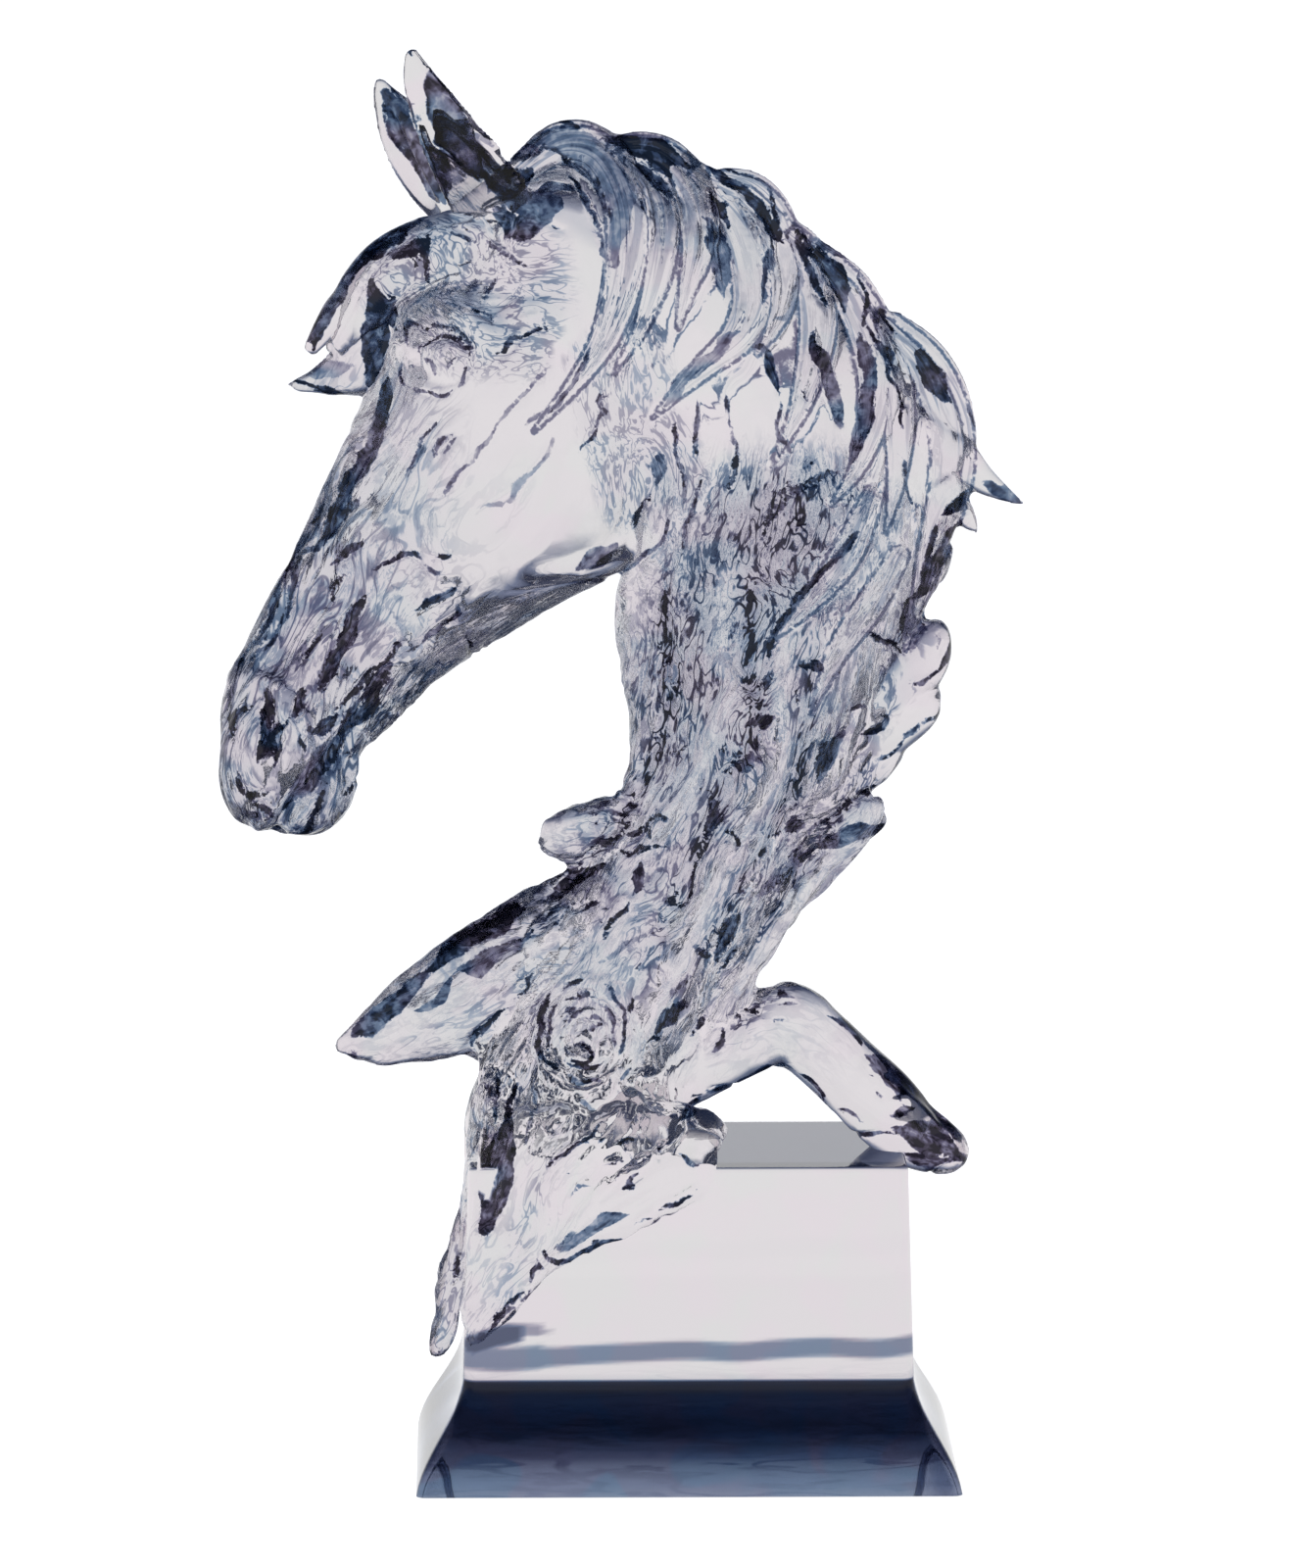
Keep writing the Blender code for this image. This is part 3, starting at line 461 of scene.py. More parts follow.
BROW_MARKS = [
    (13, 2, 0.88, [
        (-262, 942), (-300, 932), (-330, 912), (-347, 893), (-360, 860), (-374, 835), (-386, 810),
    ]),
    (22, 5, 1.0, [(-316, 880), (-312, 850), (-314, 815), (-320, 775)]),
    (17, 0, 1.0, [(-352, 882), (-330, 902), (-304, 918), (-276, 926)]),
    (13, 0, 0.92, [(-302, 903), (-285, 905), (-268, 908), (-262, 890)]),
    (8, 0, 0.85, [(-300, 866), (-294, 846), (-288, 828)]),
    (10, 0, 0.95, [(-381, 800), (-368, 832), (-352, 862), (-336, 886)]),
    (5, 0, 0.90, [(-398, 772), (-370, 765), (-340, 763)]),
    (10, 0, 0.40, [(-388, 778), (-360, 784), (-334, 792)]),
    (6, 4, 0.92, [(-258, 928), (-262, 900), (-258, 870)]),
    (5, 3, 0.80, [(-275, 905), (-272, 880)]),
    (5, 3, 0.60, [(-245, 935), (-225, 925), (-205, 912)]),
    (5, 3, 0.60, [(-190, 885), (-200, 865), (-212, 845)]),
    (5, 3, 0.70, [(-228, 840), (-210, 843), (-198, 835), (-195, 828)]),
    (5, 3, 0.75, [(-296, 858), (-290, 835), (-286, 824)]),
    (5, 3, 0.60, [(-265, 845), (-257, 858)]),
    (7, 3, 0.60, [(-266, 832), (-278, 830), (-284, 812)]),
    (5, 3, 0.78, [
        (-277, 804), (-268, 813), (-257, 816), (-245, 818), (-234, 815), (-224, 808), (-219, 799),
    ]),
    (5, 2, 0.62, [(-272, 829), (-255, 831), (-242, 828), (-229, 821), (-218, 811), (-213, 801)]),
    (5, 2, 0.62, [(-290, 797), (-287, 783), (-282, 766)]),
    (5, 2, 0.58, [(-217, 797), (-219, 785), (-223, 775), (-228, 767)]),
    (7, 2, 0.66, [(-231, 799), (-237, 791), (-243, 783)]),
    (5, 2, 0.50, [(-265, 805), (-258, 795), (-254, 783), (-247, 776)]),
    (5, 2, 0.50, [(-278, 799), (-275, 784)]),
    (5, 3, 0.65, [(-235, 822), (-222, 815), (-214, 805)]),
    (5, 3, 0.68, [(-284, 766), (-272, 763), (-258, 759), (-244, 760), (-230, 768)]),
    (5, 3, 0.50, [(-201, 921), (-186, 912), (-173, 895), (-160, 886)]),
    (6, 3, 0.84, [(-195, 795), (-180, 803), (-165, 818), (-150, 832), (-152, 840)]),
    (5, 3, 0.80, [(-150, 832), (-143, 818)]),
    (5, 3, 0.60, [(-82, 765), (-89, 753), (-83, 742), (-92, 734), (-99, 720), (-105, 708), (-109, 695)]),
    (5, 3, 0.55, [(-233, 721), (-240, 708), (-252, 697)]),
    (8, 5, 0.80, [
        (-298, 780), (-302, 757), (-310, 730), (-322, 700), (-342, 670), (-350, 650), (-378, 604),
    ]),
    (5, 3, 0.60, [(-286, 678), (-275, 700), (-262, 725), (-245, 738)]),
    (5, 3, 0.60, [(-255, 696), (-258, 708), (-235, 723)]),
    (5, 3, 0.40, [(-140, 790), (-165, 760), (-190, 735), (-215, 700), (-232, 672), (-250, 650)]),
    (5, 3, 0.35, [(-130, 720), (-150, 690), (-180, 660), (-215, 640)]),
]
NOSE_MARKS = [
    (6, 3, 0.50, [(-330, 660), (-345, 640), (-385, 600), (-400, 560), (-410, 535), (-440, 490)]),
    (6, 3, 0.45, [(-362, 660), (-385, 620), (-405, 580), (-425, 535), (-445, 500), (-455, 480)]),
    (8, 4, 0.75, [(-325, 620), (-345, 600), (-358, 590)]),
    (6, 3, 0.75, [(-340, 583), (-355, 560), (-366, 547)]),
    (6, 3, 0.80, [(-370, 527), (-380, 508), (-388, 487)]),
    (9, 5, 0.85, [(-320, 560), (-335, 540), (-345, 520), (-355, 497), (-365, 475), (-372, 462)]),
    (8, 4, 0.85, [(-380, 465), (-392, 445), (-400, 430)]),
    (6, 4, 0.80, [(-358, 440), (-335, 462), (-312, 490), (-300, 500), (-290, 512), (-282, 505)]),
    (10, 4, 0.80, [(-296, 495), (-308, 478), (-318, 458), (-330, 440), (-352, 420)]),
    (6, 4, 0.80, [(-437, 452), (-455, 435), (-460, 410)]),
    (8, 6, 1.0, [(-425, 465), (-420, 440), (-425, 410), (-435, 390)]),
    (6, 4, 0.90, [(-400, 440), (-412, 420), (-415, 400), (-418, 385)]),
    (8, 4, 0.85, [(-385, 430), (-375, 420), (-360, 430), (-348, 440)]),
    (6, 3, 0.80, [(-385, 420), (-388, 395)]),
    (6, 4, 0.85, [(-455, 385), (-452, 370), (-440, 362), (-420, 365)]),
    (9, 3, 0.85, [(-440, 355), (-420, 340)]),
    (12, 3, 0.62, [(-410, 345), (-385, 375), (-362, 400), (-340, 425)]),
    (6, 4, 0.95, [(-400, 320), (-385, 322), (-378, 335), (-372, 350), (-362, 372)]),
    (6, 3, 0.85, [(-350, 355), (-335, 375), (-328, 378)]),
    (6, 3, 0.75, [(-270, 505), (-262, 520), (-245, 535), (-232, 545), (-230, 560)]),
    (5, 3, 0.75, [(-225, 520), (-215, 500), (-200, 515)]),
    (6, 3, 0.70, [(-280, 540), (-262, 550), (-245, 558), (-228, 568)]),
    (6, 3, 0.95, [(-262, 598), (-245, 597), (-232, 600)]),
    (5, 3, 0.75, [(-270, 590), (-258, 580), (-240, 578)]),
    (6, 3, 0.75, [(-318, 575), (-312, 590), (-295, 598), (-280, 600), (-270, 590)]),
]
NECK_MARKS = [
    (5, 0, 0.95, [(262, 540), (268, 516), (263, 494), (250, 479), (232, 474)]),
    (7, 0, 0.80, [(238, 532), (250, 520), (254, 504)]),
    (5, 0, 0.95, [(262, 463), (258, 441), (222, 420), (215, 405), (185, 388)]),
    (6, 3, 0.90, [(258, 640), (240, 590), (225, 550), (214, 520)]),
    (12, 3, 0.72, [(-112, 583), (-90, 597), (-65, 612)]),
    (6, 3, 0.90, [(-58, 622), (-50, 635), (-42, 650), (-35, 660)]),
    (12, 3, 0.60, [(-32, 665), (-25, 705)]),
    (5, 3, 0.60, [(-120, 570), (-80, 578), (-50, 592), (-30, 610), (-20, 640)]),
    (6, 3, 0.50, [(-165, 718), (-150, 732), (-135, 745), (-118, 765), (-105, 785), (-96, 810)]),
    (8, 3, 0.50, [(-28, 745), (-15, 762), (0, 780), (22, 795), (38, 815), (50, 830)]),
    (5, 3, 0.70, [(8, 760), (12, 730), (10, 690)]),
    (5, 3, 0.70, [(38, 760), (44, 735), (48, 700), (40, 660)]),
    (5, 3, 0.60, [(-8, 740), (-8, 690), (-5, 660)]),
    (5, 3, 0.70, [(88, 755), (95, 720), (97, 690)]),
    (6, 3, 0.85, [(60, 812), (75, 805), (85, 790), (90, 770), (88, 755)]),
    (10, 4, 0.90, [(123, 824), (132, 797), (143, 771), (151, 742), (153, 725)]),
    (5, 3, 0.85, [(112, 765), (125, 750)]),
    (5, 3, 0.80, [(130, 700), (122, 690), (112, 685)]),
    (5, 3, 0.70, [(105, 680), (100, 672)]),
    (6, 3, 0.55, [(80, 630), (95, 650), (115, 668), (140, 678), (158, 685)]),
    (5, 3, 0.60, [(-5, 600), (0, 640), (8, 668), (18, 690)]),
]
MANE_MARKS = [
    (7, 0, 1.0, [(-178, 1013), (-162, 1030), (-141, 1038), (-121, 1034), (-99, 1025)]),
    (14, 0, 0.42, [
        (-160, 1014), (-130, 1019), (-99, 1006), (-80, 982), (-68, 955), (-68, 930), (-75, 890),
    ]),
    (5, 3, 0.78, [(-158, 1001), (-138, 1009), (-117, 999), (-99, 984), (-88, 964), (-82, 945), (-78, 925)]),
    (5, 3, 0.72, [(-108, 973), (-99, 951), (-91, 930), (-82, 899), (-80, 888)]),
    (5, 3, 0.82, [(-121, 990), (-108, 975), (-97, 938), (-92, 921)]),
    (10, 0, 1.0, [(-85, 1016), (-65, 1018), (-40, 1010), (-15, 998), (0, 988)]),
    (9, 3, 0.95, [(-58, 998), (-34, 982), (-12, 958)]),
    (5, 3, 0.75, [(-43, 1001), (-21, 990), (-10, 969), (-4, 949)]),
    (5, 3, 0.65, [(-54, 964), (-36, 936)]),
    (8, 2, 1.0, [(21, 992), (39, 979), (60, 961), (77, 946), (89, 924), (96, 911)]),
    (5, 0, 0.90, [(21, 993), (41, 992), (62, 985), (81, 975), (91, 946), (99, 911)]),
    (8, 2, 0.92, [(26, 965), (36, 945), (46, 925)]),
    (9, 3, 0.75, [(15, 938), (23, 932), (31, 911), (37, 886), (39, 870), (41, 855)]),
    (5, 3, 0.75, [(21, 928), (25, 899)]),
    (6, 3, 0.55, [(80, 911), (81, 890), (79, 870), (77, 849)]),
    (5, 3, 0.60, [(85, 919), (87, 890), (91, 882)]),
    (7, 0, 0.30, [(112, 901), (114, 874), (108, 853), (99, 839), (83, 830)]),
    (7, 3, 0.92, [(108, 936), (114, 917), (122, 895), (132, 864), (145, 845)]),
    (6, 3, 0.85, [(118, 928), (130, 903), (143, 880), (153, 870)]),
    (11, 2, 0.92, [(134, 915), (140, 895), (150, 878), (158, 860), (162, 846)]),
    (10, 0, 0.92, [(135, 918), (150, 910), (165, 900)]),
    (5, 3, 0.90, [(172, 895), (176, 870), (184, 841), (194, 812), (207, 785), (213, 766), (214, 725)]),
    (5, 3, 0.80, [(190, 853), (209, 835), (219, 822)]),
    (5, 3, 0.80, [(196, 816), (207, 795), (214, 787)]),
    (10, 3, 0.78, [(176, 830), (181, 805), (182, 780), (180, 755), (176, 730), (169, 714), (162, 687)]),
    (17, 2, 0.88, [(235, 808), (245, 790), (256, 770), (268, 758)]),
    (5, 3, 0.85, [(221, 758), (221, 749)]),
    (6, 2, 0.80, [(281, 750), (294, 725)]),
    (11, 0, 0.80, [(298, 672), (320, 662), (342, 653)]),
    (11, 3, 0.90, [(260, 643), (288, 666)]),
    (8, 3, 0.82, [(283, 641), (268, 613), (250, 588), (238, 568), (230, 550)]),
    (14, 2, 0.55, [(230, 555), (228, 530), (226, 505)]),
    (5, 3, 0.70, [(217, 702), (222, 674), (230, 641)]),
]
TRUNK_MARKS = [
    (7, 4, 0.78, [
        (179, 628), (162, 608), (141, 590), (121, 568), (101, 542), (88, 522), (83, 507), (76, 489),
    ]),
    (5, 3, 0.60, [(139, 674), (119, 669), (98, 664), (86, 649), (76, 623), (78, 606)]),
    (6, 3, 0.92, [(101, 628), (121, 633)]),
    (6, 4, 0.90, [(175, 520), (190, 515), (205, 510), (222, 500)]),
    (5, 3, 0.85, [(222, 471), (240, 473), (255, 481)]),
    (5, 3, 0.80, [(159, 436), (172, 446), (182, 451), (192, 449)]),
    (7, 4, 1.0, [(172, 418), (185, 424), (197, 428), (205, 438), (198, 446)]),
    (15, 3, 0.74, [(160, 425), (149, 408), (140, 392), (132, 374)]),
    (12, 3, 0.72, [(55, 426), (70, 430), (88, 438)]),
    (8, 6, 0.95, [(113, 487), (126, 489), (140, 482)]),
    (5, 3, 0.75, [(106, 466), (107, 446)]),
    (6, 3, 0.75, [(63, 459), (78, 470), (91, 487)]),
    (6, 3, 0.90, [(-22, 478), (-14, 466), (-4, 470)]),
    (6, 3, 0.75, [(-24, 452), (-30, 440)]),
    (7, 3, 0.85, [(-24, 426), (-16, 415)]),
    (6, 3, 0.92, [(-18, 404), (-8, 400), (0, 406)]),
    (6, 3, 0.90, [(-38, 404), (-36, 392)]),
    (6, 3, 1.0, [(-50, 390), (-44, 386)]),
    (6, 3, 1.0, [(15, 372), (12, 362), (11, 352)]),
    (8, 3, 0.85, [(24, 358), (26, 342), (22, 325), (18, 312)]),
    (5, 4, 0.95, [
        (17, 330), (19, 312), (12, 296), (5, 283), (0, 268), (-4, 258), (-12, 246), (-19, 255), (-12, 268),
    ]),
    (7, 3, 0.88, [(38, 412), (36, 402), (46, 404)]),
    (10, 2, 0.50, [(40, 392), (52, 384), (66, 396), (78, 392)]),
    (5, 3, 0.95, [(172, 360), (158, 348), (146, 338)]),
    (8, 2, 1.0, [(170, 360), (182, 364), (194, 368)]),
    (5, 4, 0.70, [(146, 338), (128, 322), (112, 308), (98, 295)]),
    (8, 3, 0.80, [(96, 318), (104, 328), (118, 324)]),
    (11, 2, 0.72, [(200, 330), (185, 320), (165, 316), (148, 308), (130, 302)]),
    (9, 2, 0.40, [(130, 302), (110, 292), (90, 274), (70, 255)]),
    (6, 4, 1.0, [(33, 320), (45, 310), (42, 298)]),
    (5, 2, 0.98, [(-107, 341), (-95, 342), (-84, 347)]),
    (6, 3, 0.92, [(-98, 334), (-90, 330)]),
    (5, 2, 0.80, [(-80, 352), (-74, 360), (-62, 366)]),
    (5, 3, 0.80, [(-52, 335), (-58, 328), (-66, 318), (-75, 308), (-84, 300)]),
    (9, 4, 0.98, [(-40, 332), (-44, 320), (-58, 318)]),
    (5, 3, 0.90, [(-45, 332), (-30, 334), (-14, 334)]),
    (5, 3, 0.92, [(-75, 305), (-60, 300), (-45, 305), (-30, 310), (-20, 306)]),
    (10, 3, 0.96, [(-45, 296), (-48, 280), (-55, 265), (-62, 252)]),
    (5, 3, 0.90, [(-62, 252), (-66, 240), (-76, 228), (-88, 215)]),
    (5, 3, 0.90, [(-88, 248), (-78, 244)]),
    (5, 3, 0.90, [(-92, 238), (-86, 232), (-90, 226)]),
    (5, 3, 0.90, [(-118, 238), (-105, 246), (-95, 250), (-85, 255)]),
    (9, 2, 0.52, [(-30, 242), (-24, 235), (-28, 226)]),
    (7, 2, 0.30, [(-30, 222), (-50, 210), (-70, 200), (-90, 190)]),
    (10, 3, 0.80, [(48, 236), (38, 218), (32, 204), (24, 190)]),
    (8, 2, 0.60, [(0, 205), (10, 200), (20, 192)]),
    (5, 4, 0.85, [(52, 204), (42, 192), (32, 182), (22, 172)]),
    (13, 4, 0.84, [(-6, 150), (-14, 138), (-22, 126), (-30, 110)]),
    (7, 3, 1.0, [(5, 132), (14, 132), (8, 120), (2, 114)]),
    (5, 4, 0.60, [(-2, 180), (-8, 168), (-16, 155), (-20, 146)]),
    (5, 3, 0.80, [(-55, 180), (-45, 186), (-42, 192)]),
    (5, 3, 0.80, [(-58, 150), (-60, 140), (-54, 146), (-50, 158)]),
]
LEAF_MARKS = [
    (13, 2, 0.97, [(-84, 288), (-105, 278), (-125, 266), (-135, 254)]),
    (13, 2, 1.0, [(-165, 246), (-190, 233), (-220, 213), (-245, 196), (-265, 176)]),
    (14, 2, 0.86, [(-265, 176), (-285, 158), (-305, 138), (-325, 120), (-342, 108)]),
    (9, 2, 0.66, [(-158, 213), (-175, 205), (-195, 198), (-215, 186), (-235, 176)]),
    (9, 2, 0.66, [(-235, 176), (-244, 160), (-258, 146), (-275, 140)]),
    (7, 3, 0.72, [(-158, 232), (-162, 220), (-170, 210)]),
    (6, 3, 0.85, [(-142, 248), (-150, 236)]),
    (6, 3, 0.80, [(-122, 240), (-128, 228), (-132, 220)]),
    (5, 3, 0.90, [(-150, 182), (-158, 172), (-165, 160), (-178, 151)]),
    (6, 4, 0.90, [(-180, 146), (-190, 138), (-200, 128), (-212, 118), (-216, 108), (-213, 97)]),
    (5, 2, 0.70, [(-348, 96), (-330, 84), (-305, 80), (-280, 83)]),
]
KNOT_MARKS = [
    (6, 4, 0.90, [(-139, 160), (-144, 142), (-148, 120), (-146, 100), (-140, 86), (-132, 74)]),
    (5, 3, 0.70, [(-130, 150), (-137, 132), (-139, 114), (-134, 96)]),
    (6, 3, 0.92, [(-133, 157), (-125, 165), (-112, 169), (-100, 172)]),
    (5, 3, 0.60, [(-128, 148), (-115, 156), (-100, 159), (-88, 156)]),
    (5, 3, 0.70, [(-84, 166), (-74, 156), (-67, 142), (-64, 126), (-67, 108), (-75, 92)]),
    (5, 3, 0.60, [(-92, 150), (-82, 140), (-78, 126), (-80, 110)]),
    (5, 3, 0.70, [(-125, 128), (-118, 140), (-105, 145)]),
    (8, 2, 0.48, [(-108, 136), (-98, 136), (-90, 128)]),
    (5, 3, 0.85, [(-112, 122), (-100, 125), (-85, 124)]),
    (5, 4, 1.0, [
        (-116, 104), (-110, 109), (-102, 107), (-97, 99), (-99, 90), (-108, 87), (-117, 91), (-119, 98),
    ]),
    (6, 3, 0.90, [(-126, 92), (-118, 84), (-105, 81), (-92, 84), (-84, 91)]),
    (5, 3, 0.75, [(-80, 120), (-77, 109), (-82, 99)]),
    (5, 3, 0.50, [(-130, 75), (-115, 67), (-98, 67), (-82, 74)]),
    (5, 3, 0.75, [(-50, 88), (-60, 80), (-66, 72), (-74, 64)]),
    (6, 3, 0.85, [(-45, 103), (-32, 108), (-20, 105)]),
]
ROOT_MARKS = [
    (6, 4, 1.0, [(-168, 72), (-175, 56), (-181, 38), (-187, 18)]),
    (17, 4, 1.0, [(-180, 38), (-188, 5), (-193, -20), (-196, -45), (-202, -68), (-207, -88)]),
    (5, 3, 0.98, [(-200, 10), (-205, -8), (-207, -28)]),
    (5, 3, 0.70, [(-205, 72), (-203, 60), (-200, 46)]),
    (5, 3, 0.80, [(-190, 80), (-192, 60), (-195, 40), (-198, 22)]),
    (5, 3, 0.70, [(-208, 30), (-206, 18), (-208, 5)]),
    (5, 3, 0.45, [(-157, 70), (-152, 50), (-156, 30), (-161, 10), (-166, -8)]),
    (5, 4, 0.92, [(-80, 31), (-95, 22), (-110, 12), (-125, 2), (-138, -8), (-145, -18)]),
    (7, 2, 0.40, [(-122, 52), (-108, 46), (-94, 40)]),
    (5, 3, 0.70, [(-100, 12), (-90, 12), (-82, 16)]),
    (5, 3, 0.92, [(-78, 4), (-65, 10), (-55, 18)]),
    (6, 4, 0.95, [(-70, 8), (-62, 0), (-61, -8)]),
    (5, 3, 0.95, [(-88, -14), (-76, -12), (-65, -12)]),
    (5, 3, 0.80, [(-66, -18), (-72, -32)]),
    (5, 3, 0.92, [(-58, -14), (-48, -8), (-38, -4)]),
    (7, 4, 1.0, [(-30, 3), (-33, -4), (-28, -8)]),
    (5, 3, 0.90, [(-130, -27), (-121, -22)]),
    (5, 3, 0.60, [(-120, -44), (-112, -36), (-98, -32)]),
    (5, 3, 0.90, [(-72, -42), (-62, -36), (-52, -28), (-44, -24)]),
    (8, 3, 0.60, [(-138, -98), (-125, -92), (-110, -86), (-98, -76), (-88, -68), (-75, -66), (-62, -62)]),
    (5, 4, 1.0, [(-97, -90), (-87, -92)]),
    (7, 3, 0.92, [
        (-60, -95), (-70, -94), (-82, -96), (-95, -102), (-115, -107), (-138, -108), (-152, -100),
    ]),
    (6, 3, 0.88, [(-155, -110), (-150, -118), (-160, -124), (-166, -136)]),
    (6, 3, 1.0, [(-137, -112), (-125, -114)]),
    (7, 3, 0.80, [(-120, -130), (-135, -134), (-150, -141), (-160, -149), (-172, -158)]),
    (7, 3, 0.86, [(-172, -158), (-190, -170), (-205, -181), (-218, -190)]),
    (5, 3, 0.90, [(-163, -140), (-175, -152), (-190, -166)]),
    (7, 2, 0.78, [(-228, -104), (-232, -125), (-238, -142)]),
    (7, 2, 0.80, [(-250, -203), (-258, -212)]),
    (7, 3, 0.95, [(32, -48), (20, -56), (8, -59), (-5, -63), (-22, -68), (-42, -76)]),
    (6, 3, 0.90, [(-32, -60), (-22, -52), (-10, -48), (0, -42), (6, -39)]),
    (5, 3, 0.80, [(-56, -75), (-44, -66), (-34, -68)]),
    (6, 3, 0.92, [(28, -49), (14, -52)]),
    (6, 3, 0.80, [(-12, -6), (-4, -8), (2, -14), (12, -18)]),
    (9, 3, 0.84, [(-10, 26), (0, 36), (10, 46), (14, 54)]),
    (5, 3, 0.60, [(20, 58), (40, 62), (60, 64)]),
    (6, 4, 0.90, [(-14, 76), (-6, 82), (0, 90)]),
]
ARCH_MARKS = [
    (6, 3, 0.98, [(47, 141), (60, 138), (72, 136), (84, 131)]),
    (5, 4, 1.0, [(40, 135), (46, 128), (42, 120)]),
    (8, 3, 0.92, [(37, 118), (30, 108), (23, 97)]),
    (5, 3, 0.75, [(86, 147), (96, 156), (108, 153)]),
    (5, 3, 0.60, [(90, 144), (102, 147), (112, 147)]),
    (5, 2, 0.65, [(95, 132), (90, 126)]),
    (6, 0, 0.95, [(142, 135), (155, 125), (168, 113), (180, 101)]),
    (10, 2, 0.96, [(182, 95), (196, 86), (212, 74), (226, 62), (240, 48), (254, 34), (265, 18), (278, 4)]),
    (12, 3, 0.80, [(198, 82), (206, 70), (212, 56), (215, 46)]),
    (5, 3, 0.90, [(185, 78), (196, 73)]),
    (5, 3, 0.90, [(189, 58), (200, 46)]),
    (10, 3, 0.84, [(204, 36), (218, 36), (232, 38)]),
    (12, 3, 1.0, [(238, 10), (250, 12), (260, 8), (252, -2)]),
    (5, 3, 0.92, [(212, 12), (224, 16), (235, 10)]),
    (20, 0, 1.0, [(206, 22), (235, 10), (262, -2), (284, -16)]),
    (11, 0, 0.92, [(214, -8), (240, -16), (268, -22)]),
    (5, 3, 0.85, [(238, -30), (252, -28), (266, -21), (280, -14)]),
    (6, 0, 0.92, [(110, 79), (124, 69), (135, 55), (142, 40), (147, 25)]),
    (6, 3, 0.90, [(150, 22), (158, 16), (170, 12), (186, 12), (200, 14), (211, 9)]),
    (5, 3, 0.70, [(155, 38), (170, 30), (181, 26)]),
    (6, 2, 0.60, [(112, 82), (98, 83), (85, 79), (74, 73), (60, 67), (48, 62)]),
]
MARKS = EAR_MARKS + BROW_MARKS + NOSE_MARKS + NECK_MARKS + MANE_MARKS
MARKS += TRUNK_MARKS + LEAF_MARKS + KNOT_MARKS + ROOT_MARKS + ARCH_MARKS

# The knot's middle, its rings as how far they reach, their half-width and height, and how much taller than
# wide they are.
KNOT = (-106, 112)
KNOT_RINGS = ((45, 12, 9), (32, 9, -7), (20, 9, 5), (9, 8, -9))
KNOT_STRETCH = 1.25
KNOT_POINTS = 12


def knot_carving():
    """The rings of the knot, each a closed path round its middle."""
    found = []
    for reach, width, height in KNOT_RINGS:
        ring = []
        for angle in np.arange(KNOT_POINTS + 1) * 2 * math.pi / KNOT_POINTS:
            u = KNOT[0] + reach * math.cos(angle)
            v = KNOT[1] + reach * KNOT_STRETCH * math.sin(angle)
            ring.append((u, v))
        found.append(((NEAR,), width, height, ring))
    return found


def linked(name, data):
    """A new object with this data, in the scene."""
    obj = bpy.data.objects.new(name, data)
    bpy.context.scene.collection.objects.link(obj)
    return obj


def object_of(bm, name):
    """A new object with the mesh built in bm, which is freed."""
    mesh = bpy.data.meshes.new(name)
    bm.to_mesh(mesh)
    bm.free()
    return linked(name, mesh)


def evaluated_copy(obj, name):
    """The object as its modifiers make it, as a plain mesh object that takes the first one's place."""
    graph = bpy.context.evaluated_depsgraph_get()
    mesh = bpy.data.meshes.new_from_object(obj.evaluated_get(graph))
    bpy.data.objects.remove(obj)
    return linked(name, mesh)


def triangle_count(obj):
    return sum(len(face.vertices) - 2 for face in obj.data.polygons)


def read_mesh(obj):
    """The places and normals of the object's vertices."""
    vertices = obj.data.vertices
    places = np.empty(len(vertices) * 3)
    normals = np.empty(len(vertices) * 3)
    vertices.foreach_get("co", places)
    vertices.foreach_get("normal", normals)
    return places.reshape(-1, 3), normals.reshape(-1, 3)


def move(obj, places):
    obj.data.vertices.foreach_set("co", places.ravel())
    obj.data.update()


def store(obj, name, values):
    """Keeps a number or a vector for each vertex."""
    if values.ndim == 1:
        layer = obj.data.attributes.new(name, "FLOAT", "POINT")
        layer.data.foreach_set("value", values.astype(np.float32))
    else:
        layer = obj.data.attributes.new(name, "FLOAT_VECTOR", "POINT")
        layer.data.foreach_set("vector", values.astype(np.float32).ravel())


# How far a vertex moves towards its neighbours' middle in one pass of smoothing.
SOFTENING = 0.5


def fuse(name, make, voxel, passes):
    """One closed mesh from forms that overlap: remeshed, then smoothed."""
    bm = bmesh.new()
    make(bm)
    bmesh.ops.recalc_face_normals(bm, faces=bm.faces)
    obj = object_of(bm, name)
    remesh = obj.modifiers.new("one skin", "REMESH")
    remesh.mode = "VOXEL"
    remesh.voxel_size = voxel
    soften = obj.modifiers.new("soften", "SMOOTH")
    soften.factor = SOFTENING
    soften.iterations = passes
    return evaluated_copy(obj, name + " skin")


def base_forms(bm):
    """The head, the neck and trunk, and the roots."""
    blade(bm, HEAD, HEAD_SKEW)
    for rows in (NECK, APRON, LEAF_ROOT):
        blade(bm, rows)
    for rows in (ARCH_ROOT, *LIMBS):
        limb(bm, rows)


def surface_tree(obj):
    """The object's surface, ready to be searched."""
    mesh = obj.data
    return BVHTree.FromPolygons([v.co for v in mesh.vertices], [p.vertices for p in mesh.polygons])


# How far from the middle plane a search for the surface starts, past every form, and how often a path found
# there is levelled out.
REACH = 320
LAID_SMOOTHING = 2


def level_out(path, passes):
    """Evens out the path's y between its ends."""
    for _ in range(passes):
        path[1:-1, 2] = (path[:-2, 2] + 2 * path[1:-1, 2] + path[2:, 2]) / 4


